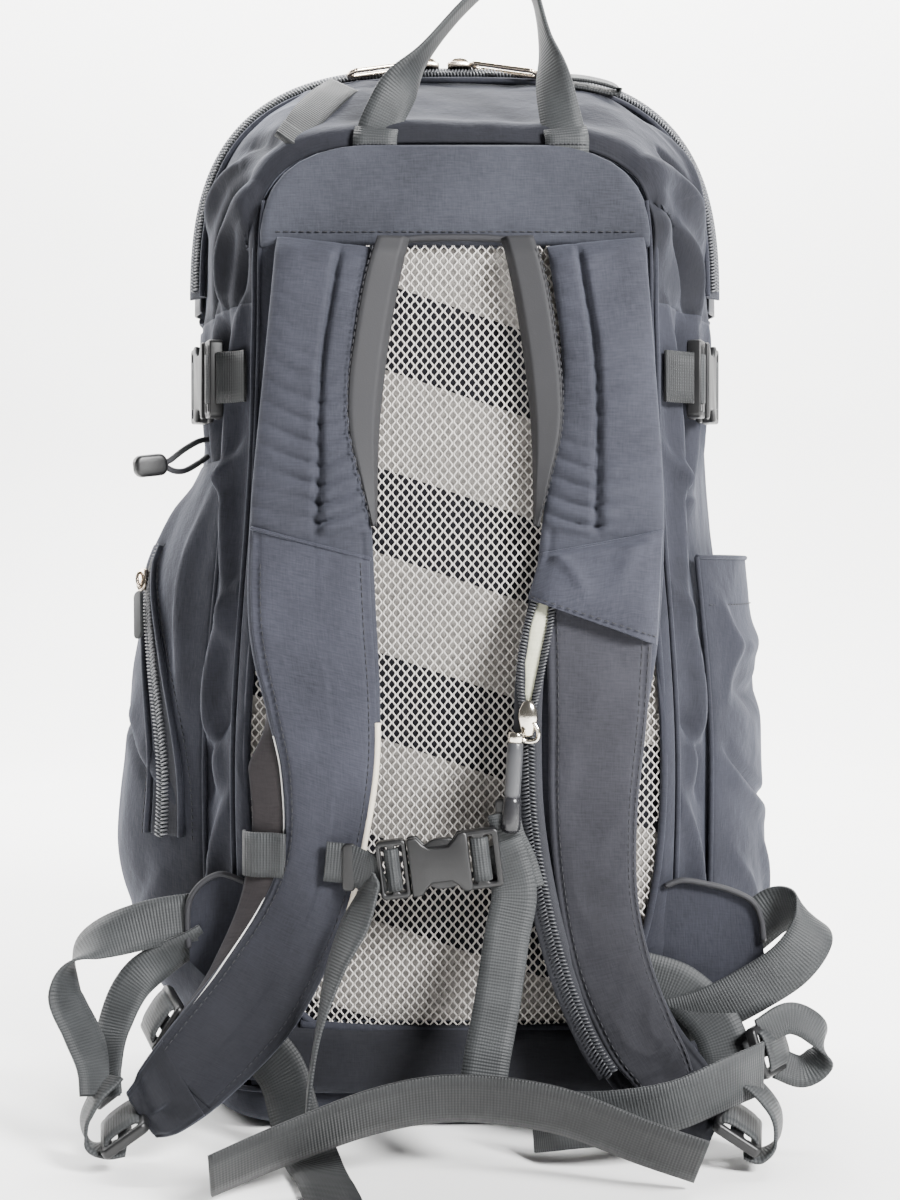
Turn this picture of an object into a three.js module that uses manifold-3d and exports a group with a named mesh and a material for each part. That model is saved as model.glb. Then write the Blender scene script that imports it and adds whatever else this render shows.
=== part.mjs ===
// A ski backpack of about 30 litres, standing on its base with its haul loop pulled upright.
// Millimetres, +Z up. The wearer's back is on the -Y side and +X is on the right of the back panel.
// The origin is the centre of the flat base.
import * as THREE from "three";
import { mergeVertices } from "three/addons/utils/BufferGeometryUtils.js";
import Module from "manifold-3d";

const V = (x, y, z) => new THREE.Vector3(x, y, z);
const mix = THREE.MathUtils.lerp;
const clamp = THREE.MathUtils.clamp;
const DEG = Math.PI / 180;

// ---------------------------------------------------------------- driving dimensions
const FABRIC = 2.4; // pack cloth with its lining and seam tape
const GAP = 0.4; // between pieces that touch
const BACK_Y = -95; // the flat rear wall
const FRONT_Y = 98; // the furthest bulge of the front
const SIDE_LOW = 22; // where the walls meet the base pan
const KNEE = 400; // where the arch over the top begins, and the fold line of the opening front
const ZIP_Y = -8; // the main zip runs round the arch here
const SIDE_SHARE = 0.3; // share of a rib's length that its straight sides take

// The walls pass through these ribs, from the rear seam to the front seam. Each is half the
// pack's width at the foot, the pocket, the waist and the knee, then the height of the arch and
// its squareness: 2 is an ellipse, more is squarer.
const RIBS = [
  { y: BACK_Y, foot: 101, pocket: 106, waist: 96, knee: 95, top: 474, square: 4 },
  { y: -55, foot: 128, pocket: 131, waist: 117, knee: 119, top: 508, square: 3.5 },
  { y: ZIP_Y, foot: 142, pocket: 146, waist: 130, knee: 134, top: 531, square: 3.1 },
  { y: 25, foot: 145, pocket: 149, waist: 133, knee: 136, top: 539, square: 3 },
  { y: 70, foot: 130, pocket: 134, waist: 118, knee: 119, top: 514, square: 2.8 },
];
const FRONT_RIB = RIBS.at(-1);
const POCKET_Z = 170;
const WAIST_Z = 362;

const PAD_Y = BACK_Y - GAP; // the pads of the back panel lie against the rear wall
const MESH_T = 7.5;
const STRAP_T = 12;
const WEB20 = 20; // webbing widths
const WEB25 = 25;
const BELT_WEB = 34;
const WEB_T = 1.6;

// ---------------------------------------------------------------- solids
const wasm = await Module();
wasm.setup();

const bare = (geometry) => {
  const g = geometry.clone();
  for (const name of Object.keys(g.attributes)) if (name !== "position") g.deleteAttribute(name);
  return mergeVertices(g, 1e-4);
};
const toSolid = (geometry) => {
  const g = bare(geometry);
  const mesh = { numProp: 3, vertProperties: g.attributes.position.array, triVerts: new Uint32Array(g.index.array) };
  return new wasm.Manifold(new wasm.Mesh(mesh));
};
const fromSolid = (solid) => {
  const m = solid.getMesh();
  const positions = new Float32Array(m.numVert * 3);
  for (let i = 0; i < m.numVert; i++) {
    positions.set(m.vertProperties.subarray(i * m.numProp, i * m.numProp + 3), i * 3);
  }
  const g = new THREE.BufferGeometry();
  g.setAttribute("position", new THREE.BufferAttribute(positions, 3));
  g.setIndex(new THREE.BufferAttribute(new Uint32Array(m.triVerts), 1));
  return g;
};
const join = (first, ...rest) => fromSolid(rest.reduce((s, g) => s.add(toSolid(g)), toSolid(first)));
const cut = (first, ...rest) => fromSolid(rest.reduce((s, g) => s.subtract(toSolid(g)), toSolid(first)));

const volumeOf = (points, faces) =>
  faces.reduce((sum, [a, b, c]) => sum + points[a].dot(points[b].clone().cross(points[c])), 0);

function closedGeometry(points, faces) {
  const outward = volumeOf(points, faces) > 0;
  const g = new THREE.BufferGeometry().setFromPoints(points);
  g.setIndex(faces.flatMap(([a, b, c]) => (outward ? [a, b, c] : [a, c, b])));
  return g;
}

// Cloth over a grid of points: rows of equal length on the outer face, thickened inwards.
// inside is a point on the inner side of the cloth.
function cloth(rows, inside, thickness = FABRIC) {
  const nr = rows.length;
  const nc = rows[0].length;
  const at = (i, j) => rows[clamp(i, 0, nr - 1)][clamp(j, 0, nc - 1)];
  const inner = rows.map((row, i) =>
    row.map((p, j) => {
      const along = at(i + 1, j).clone().sub(at(i - 1, j));
      const across = at(i, j + 1).clone().sub(at(i, j - 1));
      const normal = along.cross(across).normalize();
      if (normal.dot(inside.clone().sub(p)) < 0) normal.negate();
      return p.clone().addScaledVector(normal, thickness);
    }),
  );
  const points = [...rows.flat(), ...inner.flat()];
  const id = (i, j, layer) => layer * nr * nc + i * nc + j;
  const faces = [];
  const quad = (a, b, c, d) => faces.push([a, b, c], [a, c, d]);
  for (let i = 0; i < nr - 1; i++) {
    for (let j = 0; j < nc - 1; j++) {
      quad(id(i, j, 0), id(i, j + 1, 0), id(i + 1, j + 1, 0), id(i + 1, j, 0));
      quad(id(i, j, 1), id(i + 1, j, 1), id(i + 1, j + 1, 1), id(i, j + 1, 1));
    }
  }
  for (let j = 0; j < nc - 1; j++) {
    quad(id(0, j, 1), id(0, j + 1, 1), id(0, j + 1, 0), id(0, j, 0));
    quad(id(nr - 1, j, 0), id(nr - 1, j + 1, 0), id(nr - 1, j + 1, 1), id(nr - 1, j, 1));
  }
  for (let i = 0; i < nr - 1; i++) {
    quad(id(i, 0, 0), id(i + 1, 0, 0), id(i + 1, 0, 1), id(i, 0, 1));
    quad(id(i, nc - 1, 1), id(i + 1, nc - 1, 1), id(i + 1, nc - 1, 0), id(i, nc - 1, 0));
  }
  return closedGeometry(points, faces);
}

// A solid through rings of equal length, capped at both ends.
function loft(rings) {
  const n = rings[0].length;
  const points = rings.flat();
  const faces = [];
  for (let i = 0; i < rings.length - 1; i++) {
    for (let j = 0; j < n; j++) {
      const a = i * n + j;
      const b = i * n + ((j + 1) % n);
      faces.push([a, b, b + n], [a, b + n, a + n]);
    }
  }
  for (const [ring, start, flip] of [
    [rings[0], 0, true],
    [rings.at(-1), (rings.length - 1) * n, false],
  ]) {
    const hub = points.push(ring.reduce((s, p) => s.add(p), V(0, 0, 0)).divideScalar(n)) - 1;
    for (let j = 0; j < n; j++) {
      const k = (j + 1) % n;
      faces.push(flip ? [hub, start + k, start + j] : [hub, start + j, start + k]);
    }
  }
  return closedGeometry(points, faces);
}

// Frames along a smooth curve: its place, its direction, the direction across the band, and the
// band's facing. The directions across are given at some of the curve's points.
function bandFrames(points, across, steps) {
  const curve = new THREE.CatmullRomCurve3(points, false, "centripetal");
  return Array.from({ length: steps + 1 }, (_, i) => {
    const t = i / steps;
    const place = curve.getPoint(t);
    const along = curve.getTangent(t);
    const at = t * (across.length - 1);
    const k = Math.min(Math.floor(at), across.length - 2);
    const wide = across[k].clone().lerp(across[k + 1], at - k);
    wide.addScaledVector(along, -wide.dot(along)).normalize();
    return { t, place, along, wide, facing: wide.clone().cross(along).normalize() };
  });
}

// A flat strap along a curve.
function webbing(points, across, width, steps = 14, thickness = WEB_T) {
  const corners = [
    [-0.5, -0.5],
    [0.5, -0.5],
    [0.5, 0.5],
    [-0.5, 0.5],
  ];
  return loft(
    bandFrames(points, across, steps).map(({ place, wide, facing }) =>
      corners.map(([a, b]) =>
        place
          .clone()
          .addScaledVector(wide, a * width)
          .addScaledVector(facing, b * thickness),
      ),
    ),
  );
}

// A foam pad along a curve: a rounded section whose width and thickness change along it.
function pad(points, across, widthAt, thicknessAt, steps, sides = 10) {
  return loft(
    bandFrames(points, across, steps).map(({ t, place, wide, facing }) =>
      Array.from({ length: sides }, (_, i) => {
        const angle = ((i + 0.5) / sides) * 2 * Math.PI;
        const a = Math.sign(Math.cos(angle)) * Math.abs(Math.cos(angle)) ** 0.7;
        const b = Math.sign(Math.sin(angle)) * Math.abs(Math.sin(angle)) ** 0.7;
        return place
          .clone()
          .addScaledVector(wide, (a * widthAt(t)) / 2)
          .addScaledVector(facing, (b * thicknessAt(t)) / 2);
      }),
    ),
  );
}

const stops = (values) => (t) => {
  const at = clamp(t, 0, 1) * (values.length - 1);
  const k = Math.min(Math.floor(at), values.length - 2);
  return mix(values[k], values[k + 1], at - k);
};

const box = (w, d, h, x = 0, y = 0, z = 0) => new THREE.BoxGeometry(w, d, h).translate(x, y, z);

function extruded(shape, depth, curveSegments = 5) {
  return new THREE.ExtrudeGeometry(shape, { depth, bevelEnabled: false, curveSegments }).translate(0, 0, -depth / 2);
}

function roundedRect(w, h, r) {
  const s = new THREE.Shape();
  s.moveTo(-w / 2 + r, -h / 2);
  s.lineTo(w / 2 - r, -h / 2).quadraticCurveTo(w / 2, -h / 2, w / 2, -h / 2 + r);
  s.lineTo(w / 2, h / 2 - r).quadraticCurveTo(w / 2, h / 2, w / 2 - r, h / 2);
  s.lineTo(-w / 2 + r, h / 2).quadraticCurveTo(-w / 2, h / 2, -w / 2, h / 2 - r);
  s.lineTo(-w / 2, -h / 2 + r).quadraticCurveTo(-w / 2, -h / 2, -w / 2 + r, -h / 2);
  return s;
}

// ---------------------------------------------------------------- the pack's surface
const smoothstep = (t) => t * t * (3 - 2 * t);
function halfWidth(rib, z) {
  const levels = [
    [0, rib.foot],
    [POCKET_Z, rib.pocket],
    [WAIST_Z, rib.waist],
    [KNEE, rib.knee],
  ];
  const k = levels.findIndex(([level]) => z < level);
  if (k < 0) return rib.knee;
  if (k === 0) return rib.foot;
  const [z0, w0] = levels[k - 1];
  const [z1, w1] = levels[k];
  return mix(w0, w1, smoothstep((z - z0) / (z1 - z0)));
}

// The place on a rib: share 0 is the foot of the left side, 0.5 the top and 1 the right foot.
function onRib(rib, share) {
  const side = share < 0.5 ? -1 : 1;
  const fromFoot = side < 0 ? share : 1 - share;
  if (fromFoot <= SIDE_SHARE) {
    const z = mix(SIDE_LOW, KNEE, fromFoot / SIDE_SHARE);
    return V(side * halfWidth(rib, z), rib.y, z);
  }
  const angle = (((fromFoot - SIDE_SHARE) / (0.5 - SIDE_SHARE)) * Math.PI) / 2;
  const x = rib.knee * Math.max(0, Math.cos(angle)) ** (2 / rib.square);
  const z = KNEE + (rib.top - KNEE) * Math.sin(angle) ** (2 / rib.square);
  return V(side * x, rib.y, z);
}

// A rib between two of the named ones, at a depth y.
function ribAt(y) {
  const curve = (key) => {
    const k = clamp(RIBS.findIndex((r) => r.y >= y) - 1, 0, RIBS.length - 2);
    const [a, b] = [RIBS[k], RIBS[k + 1]];
    const before = RIBS[Math.max(k - 1, 0)];
    const after = RIBS[Math.min(k + 2, RIBS.length - 1)];
    const t = (y - a.y) / (b.y - a.y);
    const slope = (p, q) => (q.y === p.y ? 0 : ((q[key] - p[key]) / (q.y - p.y)) * (b.y - a.y));
    const m0 = slope(before, b);
    const m1 = slope(a, after);
    const h = t * t * t;
    const s = t * t;
    return (2 * h - 3 * s + 1) * a[key] + (h - 2 * s + t) * m0 + (-2 * h + 3 * s) * b[key] + (h - s) * m1;
  };
  const rib = { y };
  for (const key of ["foot", "pocket", "waist", "knee", "top", "square"]) rib[key] = curve(key);
  return rib;
}

// The side wall's outer face.
const wall = (side, y, z, outwards = 0) => V(side * (halfWidth(ribAt(y), z) + outwards), y, z);
const spread = (a, b, n) => Array.from({ length: n + 1 }, (_, i) => mix(a, b, i / n));

// ---------------------------------------------------------------- materials
const material = (color, roughness, metalness = 0) => new THREE.MeshStandardMaterial({ color, roughness, metalness });
const finish = {
  cloth: material(0x25272f, 0.85),
  trim: material(0x3a3c3e, 0.8),
  mesh: material(0xa9aba6, 0.9),
  webbing: material(0x2f3235, 0.75),
  plastic: material(0x1d1e20, 0.45),
  steel: material(0xb9a48c, 0.3, 1),
  zip: material(0x1a1b1d, 0.5),
  piping: material(0xd8cfc0, 0.7),
  sheet: material(0xe6e6e2, 0.5),
  alloy: material(0xc4c6c8, 0.35, 1),
  lining: material(0x6c7176, 0.85),
};

const pack = new THREE.Group();
function piece(name, geometry, look, parent = pack) {
  const mesh = new THREE.Mesh(geometry, look);
  mesh.name = name;
  parent.add(mesh);
  return mesh;
}

// ---------------------------------------------------------------- bag
const middle = V(0, 0, 250);
const frontY = (u) => FRONT_RIB.y + (FRONT_Y - FRONT_RIB.y) * (1 - Math.abs(u) ** 2.4);

function basePan() {
  const footprint = (inset, z) => {
    const half = RIBS.map((r) => V(r.foot - inset, r.y, z));
    const right = [V(50, BACK_Y, z), ...half, V(96, 86, z), V(48, 94, z)];
    const left = right.map((p) => V(-p.x, p.y, z)).reverse();
    const loop = [...right, V(0, 96, z), ...left, V(0, BACK_Y, z)];
    const inner = loop.map((p) => V(p.x, clamp(p.y, BACK_Y + 1 + inset, 96 - inset), z));
    return new THREE.CatmullRomCurve3(inner, true, "centripetal").getPoints(32).slice(0, -1);
  };
  const rim = SIDE_LOW - GAP;
  const outer = loft([footprint(17, 0), footprint(7, 4), footprint(0, 12), footprint(0, rim)]);
  const inner = loft([footprint(19.5, FABRIC), footprint(9.5, 6.4), footprint(2.5, 14), footprint(2.5, rim + 1)]);
  return cut(outer, inner);
}

function rearWall() {
  const rib = RIBS[0];
  const inset = 3;
  const shape = new THREE.Shape();
  spread(0, 1, 26).forEach((share, i) => {
    const p = onRib(rib, share);
    const x = p.x * (1 - inset / rib.foot);
    const z = p.z > KNEE ? mix(KNEE, p.z, 1 - inset / (rib.top - KNEE)) : p.z;
    if (i === 0) shape.moveTo(x, z);
    else shape.lineTo(x, z);
  });
  return extruded(shape, FABRIC)
    .rotateX(Math.PI / 2)
    .translate(0, BACK_Y + FABRIC / 2, 0);
}

function sidePanel(side) {
  const depths = spread(BACK_Y + FABRIC + GAP, FRONT_RIB.y - 6, 7);
  return cloth(
    depths.map((y) => spread(SIDE_LOW, KNEE - GAP, 8).map((z) => wall(side, y, z))),
    middle,
  );
}

function topGusset() {
  const depths = spread(BACK_Y + FABRIC + GAP, ZIP_Y - 1, 4);
  const shares = spread(SIDE_SHARE, 1 - SIDE_SHARE, 22);
  return cloth(
    depths.map((y) => shares.map((s) => onRib(ribAt(y), s))),
    middle,
  );
}

function frontPanel() {
  const rows = spread(-1, 1, 12).map((u) =>
    spread(SIDE_LOW, KNEE - GAP, 6).map((z) => V(u * (halfWidth(FRONT_RIB, z) - 1), frontY(u), z)),
  );
  return cloth(rows, middle);
}

// The opening front: from the zip round the arch, over the top and down to the fold line.
function openingFront() {
  const shares = spread(SIDE_SHARE + 0.0015, 1 - SIDE_SHARE - 0.0015, 22);
  const rows = shares.map((share) => {
    const across = mix(-1, 1, (share - SIDE_SHARE) / (1 - 2 * SIDE_SHARE));
    const foldU = 0.68 * across;
    const fold = V(foldU * (FRONT_RIB.knee - 1), frontY(foldU), KNEE + 3 * GAP);
    const seam = onRib(FRONT_RIB, share);
    const belly = seam.clone().lerp(fold, 0.45);
    belly.y += mix(10, 1, Math.abs(across) ** 2);
    const ribs = [ZIP_Y + 1, 8, 25, 48].map((y) => onRib(ribAt(y), share));
    const outline = new THREE.CatmullRomCurve3([...ribs, seam, belly, fold], false, "centripetal");
    return outline.getPoints(9).map((p) => V(p.x, p.y, Math.max(p.z, KNEE + 3 * GAP)));
  });
  return cloth(rows, V(0, 20, 430));
}

piece("base_pan", basePan(), finish.cloth);
piece("rear_wall", rearWall(), finish.cloth);
piece("side_panel_left", sidePanel(-1), finish.cloth);
piece("side_panel_right", sidePanel(1), finish.cloth);
piece("top_gusset", topGusset(), finish.cloth);
piece("front_panel", frontPanel(), finish.cloth);
piece("opening_front", openingFront(), finish.cloth);

// ---------------------------------------------------------------- frame inside the rear wall
const SHEET_Y = BACK_Y + FABRIC + GAP;
const SHEET_T = 1.4;
const STAY = { x: 62, low: 46, high: 420, wide: 12, thick: 3 };

function stayFrame() {
  const outline = (inset) => {
    const x = STAY.x - inset;
    return new THREE.Shape()
      .moveTo(-x, STAY.low)
      .lineTo(-x, STAY.high - 40)
      .quadraticCurveTo(-x, STAY.high - inset, -x + 40, STAY.high - inset)
      .lineTo(x - 40, STAY.high - inset)
      .quadraticCurveTo(x, STAY.high - inset, x, STAY.high - 40)
      .lineTo(x, STAY.low);
  };
  const place = (g) => g.rotateX(Math.PI / 2).translate(0, SHEET_Y + SHEET_T + GAP + STAY.thick / 2, 0);
  const hole = extruded(outline(STAY.wide), STAY.thick + 2, 4).translate(0, -1, 0);
  return place(cut(extruded(outline(0), STAY.thick, 4), hole));
}

piece(
  "frame_sheet",
  extruded(roundedRect(170, 380, 24), SHEET_T, 3)
    .rotateX(Math.PI / 2)
    .translate(0, SHEET_Y + SHEET_T / 2, 236),
  finish.sheet,
);
piece("stay_frame", stayFrame(), finish.alloy);

// ---------------------------------------------------------------- side pockets
// Cloth that stands off the side wall by bulge(u, v), with u from rear to front and v upwards.
function pocket(side, y0, y1, z0, z1, bulge, nu = 8, nv = 8) {
  const rows = spread(0, 1, nu).map((u) =>
    spread(0, 1, nv).map((v) => wall(side, mix(y0, y1, u), mix(z0, z1, v), FABRIC + GAP + bulge(u, v))),
  );
  return cloth(rows, middle, FABRIC - GAP);
}

// How far each pocket stands off at its middle, from its foot to its top.
const LEFT_POCKET = { y0: -72, y1: 56, z0: 28, z1: 326, deep: [0, 19, 32, 26, 24, 20, 0] };
const RIGHT_POCKET = { y0: -66, y1: 56, z0: 28, z1: 278, deep: [0, 13, 17, 15, 14, 14, 15] };
const leftBulge = (u, v) => Math.sin(Math.PI * u) ** 0.8 * stops(LEFT_POCKET.deep)(v);
const rightBulge = (u, v) => Math.sin(Math.PI * u) ** 0.7 * stops(RIGHT_POCKET.deep)(v);
const onLeftPocket = (u, v, out = 0) =>
  wall(
    -1,
    mix(LEFT_POCKET.y0, LEFT_POCKET.y1, u),
    mix(LEFT_POCKET.z0, LEFT_POCKET.z1, v),
    FABRIC + GAP + leftBulge(u, v) + out,
  );

piece("pocket_left", pocket(-1, LEFT_POCKET.y0, LEFT_POCKET.y1, LEFT_POCKET.z0, LEFT_POCKET.z1, leftBulge), finish.cloth);
piece(
  "pocket_right",
  pocket(1, RIGHT_POCKET.y0, RIGHT_POCKET.y1, RIGHT_POCKET.z0, RIGHT_POCKET.z1, rightBulge),
  finish.cloth,
);

// The zip starts low at the rear of the pocket and curves forwards as it climbs.
const ZIP_FOOT = { u: 0.11, v: 0.4 };
const ZIP_TOP = { u: 0.42, v: 0.83 };
const pocketZip = (v, out) => {
  const rise = clamp((v - ZIP_FOOT.v) / (ZIP_TOP.v - ZIP_FOOT.v), 0, 1);
  return onLeftPocket(mix(ZIP_FOOT.u, ZIP_TOP.u, rise ** 2), v, out);
};
const pocketAcross = V(0.66, -0.75, 0);
piece(
  "pocket_zip_tape",
  webbing(spread(0.36, 0.84, 6).map((v) => pocketZip(v, 2.6)), [pocketAcross, pocketAcross], 10, 10),
  finish.zip,
);

// A block in its own frame: its X runs along, its Y across, and its Z towards the facing.
function placed(geometry, origin, along, across) {
  const x = along.clone().normalize();
  const y = across.clone().addScaledVector(x, -across.dot(x)).normalize();
  return geometry.clone().applyMatrix4(new THREE.Matrix4().makeBasis(x, y, x.clone().cross(y)).setPosition(origin));
}

const SLIDER = { long: 12, wide: 10, high: 4.4 };
const sliderBlock = () => extruded(roundedRect(SLIDER.long, SLIDER.wide, 3), SLIDER.high, 3);
const pocketStart = pocketZip(0.8, 9.2);
const pocketAlong = pocketZip(0.55, 14).sub(pocketStart).normalize();
piece("pocket_zip_slider", placed(sliderBlock(), pocketStart, pocketAlong, pocketAcross), finish.steel);
piece(
  "pocket_zip_puller",
  placed(
    extruded(roundedRect(26, 7, 3), 1.8, 3).translate(13, 0, 0),
    pocketStart.clone().addScaledVector(pocketAlong, 7),
    pocketAlong,
    pocketAcross,
  ),
  finish.webbing,
);

// ---------------------------------------------------------------- back panel
function panelPlate(outline, thickness, y) {
  const shape = new THREE.Shape(outline.map(([x, z]) => new THREE.Vector2(x, z)));
  return extruded(shape, thickness)
    .rotateX(Math.PI / 2)
    .translate(0, y - thickness / 2, 0);
}
const mirrored = (half) => [...half, ...half.map(([x, z]) => [-x, z]).reverse()];

piece(
  "back_mesh",
  panelPlate(
    mirrored([
      [92, 50],
      [98, 120],
      [99, 200],
      [92, 280],
      [84, 360],
      [82, 428],
    ]),
    MESH_T,
    PAD_Y,
  ),
  finish.mesh,
);
piece(
  "lumbar_pad",
  panelPlate(
    mirrored([
      [90, 22],
      [96, 32],
      [94, 49],
    ]),
    MESH_T + 2,
    PAD_Y,
  ),
  finish.cloth,
);
piece(
  "yoke_panel",
  panelPlate(
    mirrored([
      [92, 430],
      [90, 446],
      [76, 457],
      [56, 464],
      [28, 467],
    ]),
    MESH_T,
    PAD_Y,
  ),
  finish.cloth,
);

// ---------------------------------------------------------------- shoulder straps
const X = V(1, 0, 0);
const LEFT_STRAP = [
  V(-61, -110.5, 427),
  V(-68, -111, 365),
  V(-68, -112, 302),
  V(-67, -114, 248),
  V(-62, -116, 210),
  V(-59, -117, 178),
  V(-62, -118, 140),
  V(-72, -121, 108),
  V(-92, -128, 74),
  V(-116, -134, 47),
  V(-133, -137, 30),
];
const RIGHT_STRAP = [
  V(66, -110.5, 427),
  V(72, -111, 365),
  V(70, -112, 302),
  V(66, -113, 248),
  V(62, -113.5, 205),
  V(60, -114, 160),
  V(62, -116, 120),
  V(70, -120, 84),
  V(84, -126, 52),
  V(101, -131, 32),
  V(113, -133, 23),
];
const leftAcross = [X, X, X, X, X, X, X, X, X, V(1, 0, -0.5), V(0.7, 0, -1)];
const rightAcross = [X, X, X, X, X, X, X, X, V(1, 0, 0.2), V(0.9, 0, 0.8), V(0.6, 0, 1)];
const leftWidth = stops([46, 44, 56, 60, 54, 46, 38, 40, 44, 40, 30]);
const rightWidth = stops([46, 44, 56, 60, 56, 50, 44, 42, 42, 38, 30]);
const thin = stops([STRAP_T, STRAP_T, STRAP_T, STRAP_T, 11, 10, 9]);

piece("shoulder_strap_left", pad(LEFT_STRAP, leftAcross, leftWidth, thin, 20, 8), finish.cloth);
piece("shoulder_strap_right", pad(RIGHT_STRAP, rightAcross, rightWidth, thin, 20, 8), finish.cloth);

function binding(side) {
  const route = [V(30, -109, 427), V(36, -109, 380), V(37.5, -109, 335), V(36, -109.5, 297)];
  const width = stops([14, 12, 8.5, 4]);
  return pad(
    route.map((p) => V(side * p.x, p.y, p.z)),
    [X, X],
    width,
    () => 6,
    6,
    8,
  );
}
piece("binding_left", binding(-1), finish.trim);
piece("binding_right", binding(1), finish.trim);

// The sleeve over the right strap holds a drinking tube behind a zip.
const SLEEVE_Y = -123.5;
const SLEEVE = [
  V(67, SLEEVE_Y, 246),
  V(66, SLEEVE_Y, 205),
  V(64, SLEEVE_Y - 0.5, 160),
  V(66, SLEEVE_Y - 2, 120),
  V(73, SLEEVE_Y - 5.5, 86),
  V(84, SLEEVE_Y - 10.5, 59),
  V(92, SLEEVE_Y - 13, 46),
];
piece(
  "tube_sleeve",
  pad(SLEEVE, [X, X, X, X, X, X, V(1, 0, 0.2)], stops([46, 44, 40, 36, 34, 32, 28]), () => 6, 12, 8),
  finish.cloth,
);
const ZIP_LINE = [
  V(38.5, SLEEVE_Y, 246),
  V(34.5, SLEEVE_Y, 222),
  V(33.5, SLEEVE_Y, 190),
  V(35, SLEEVE_Y - 0.5, 155),
  V(41, SLEEVE_Y - 2.5, 118),
  V(50, SLEEVE_Y - 6, 84),
  V(62, SLEEVE_Y - 11, 56),
  V(71, SLEEVE_Y - 14, 42),
];
piece("sleeve_zip_tape", webbing(ZIP_LINE, [X, X, V(1, 0, 0.5)], 8, 16), finish.zip);

const sleeveStart = V(33.5, SLEEVE_Y - 4, 204);
const DOWN = V(0, 0, -1);
piece(
  "sleeve_zip_slider",
  placed(extruded(roundedRect(14, 9, 3), SLIDER.high, 3), sleeveStart, DOWN, X),
  finish.steel,
);
piece(
  "sleeve_zip_puller",
  new THREE.CylinderGeometry(3, 3, 23, 10).rotateX(Math.PI / 2).translate(26, SLEEVE_Y - 5, 184.5),
  finish.plastic,
);

// ---------------------------------------------------------------- haul loop
const HAUL = [
  V(-38, -95.5, 477),
  V(-35, -92.5, 487),
  V(-24, -88, 508),
  V(2, -86, 541),
  V(24, -86, 559),
  V(37, -86, 552),
  V(44, -88, 522),
  V(50, -92.5, 490),
  V(53, -95.5, 477),
];
const haulAcross = [X, X, V(0.5, 1, 0.3), V(0, 1, 0), V(0, 1, 0), V(0, 1, 0), V(-0.4, 1, 0.3), V(-1, 0.1, 0), V(-1, 0, 0)];
piece("haul_loop", webbing(HAUL, haulAcross, WEB20, 20), finish.webbing);

// ---------------------------------------------------------------- lower corners
const wing = (outline) => panelPlate(outline, 2.6, BACK_Y - 3);
piece(
  "wing_left",
  wing([
    [-99, 120],
    [-114, 124],
    [-127, 112],
    [-126, 84],
    [-112, 72],
    [-99, 66],
  ]),
  finish.cloth,
);
piece(
  "wing_right",
  wing([
    [99, 118],
    [112, 122],
    [142, 112],
    [147, 88],
    [128, 66],
    [100, 58],
  ]),
  finish.cloth,
);

// A ladder lock: two slots between three bars.
const LOCK = { long: 24, wide: 34, thick: 5, slot: 5.5 };
function ladderLock() {
  const slot = (x) => box(LOCK.slot, WEB25 + 1.5, LOCK.thick + 2, x);
  return cut(extruded(roundedRect(LOCK.long, LOCK.wide, 3), LOCK.thick, 3), slot(-5.5), slot(5.5));
}
const strapLock = {
  left: { at: V(-150.5, -141, 18.5), along: V(-0.8, -0.1, -0.55), across: V(0.35, -0.9, 0) },
  right: { at: V(129, -137, 17.5), along: V(0.8, -0.1, -0.5), across: V(0.35, 0.9, 0) },
};
const beltLock = {
  left: { at: V(-138, -112, 60), along: V(-0.5, -0.1, -0.8), across: V(0.4, -0.9, 0) },
  right: { at: V(148, -112, 46), along: V(0.25, -0.2, -0.9), across: V(0.5, 0.85, 0) },
};
for (const side of ["left", "right"]) {
  const strap = strapLock[side];
  const belt = beltLock[side];
  piece(`strap_lock_${side}`, placed(ladderLock(), strap.at, strap.along, strap.across), finish.plastic);
  piece(`belt_lock_${side}`, placed(ladderLock(), belt.at, belt.along, belt.across), finish.plastic);
}

const LEFT_ADJUST = [
  V(-125, -103.5, 106),
  V(-150, -104, 102),
  V(-176, -110, 92),
  V(-183, -116, 74),
  V(-174, -122, 56),
  V(-166, -128, 42),
  V(-163, -134, 30),
];
const RIGHT_ADJUST = [
  V(136, -103.5, 106),
  V(158, -108, 112),
  V(171, -114, 101),
  V(163, -116, 86),
  V(142, -113, 77),
  V(119, -109, 69),
  V(98, -106.5, 64),
];
const UP = V(0, 0, 1);
piece(
  "strap_webbing_left",
  webbing(LEFT_ADJUST, [UP, V(0, 0.4, 1), V(0.2, 1, 0.5), V(0.6, 1, 0), V(0.7, 1, 0)], 22, 16),
  finish.webbing,
);
piece(
  "strap_webbing_right",
  webbing(RIGHT_ADJUST, [UP, V(0, -0.3, 1), V(-0.4, 0.6, 1), V(0, 0.3, 1), UP], 22, 16),
  finish.webbing,
);

const LEFT_BELT = [
  V(-118, -112.5, 66),
  V(-98, -113, 52),
  V(-82, -116, 36),
  V(-73, -128, 14),
  V(-64, -146, 3),
  V(-56, -172, 1.6),
  V(-50, -198, 1.6),
];
const RIGHT_BELT = [
  V(141, -134, 43),
  V(122, -148, 40),
  V(98, -154, 32),
  V(70, -152, 26),
  V(48, -144, 22),
  V(36, -130, 16),
];
const BAND = [
  V(-100, -196, 12),
  V(-62, -176, 20),
  V(-16, -166, 28),
  V(48, -170, 24),
  V(90, -176, 19),
  V(121, -180, 17),
];
piece("belt_webbing_left", webbing(LEFT_BELT, [V(0, 0, 1), V(0.8, 0, 1), X, X], WEB25, 14), finish.webbing);
piece("belt_webbing_right", webbing(RIGHT_BELT, [V(0.2, 0, 1), V(0, -0.3, 1), V(0, 0.3, 1)], WEB25, 12), finish.webbing);
piece("belt_band", webbing(BAND, [V(0, -0.9, 1), V(0, -0.7, 1), V(0, -0.7, 0.9)], BELT_WEB - 8, 12), finish.webbing);

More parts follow.
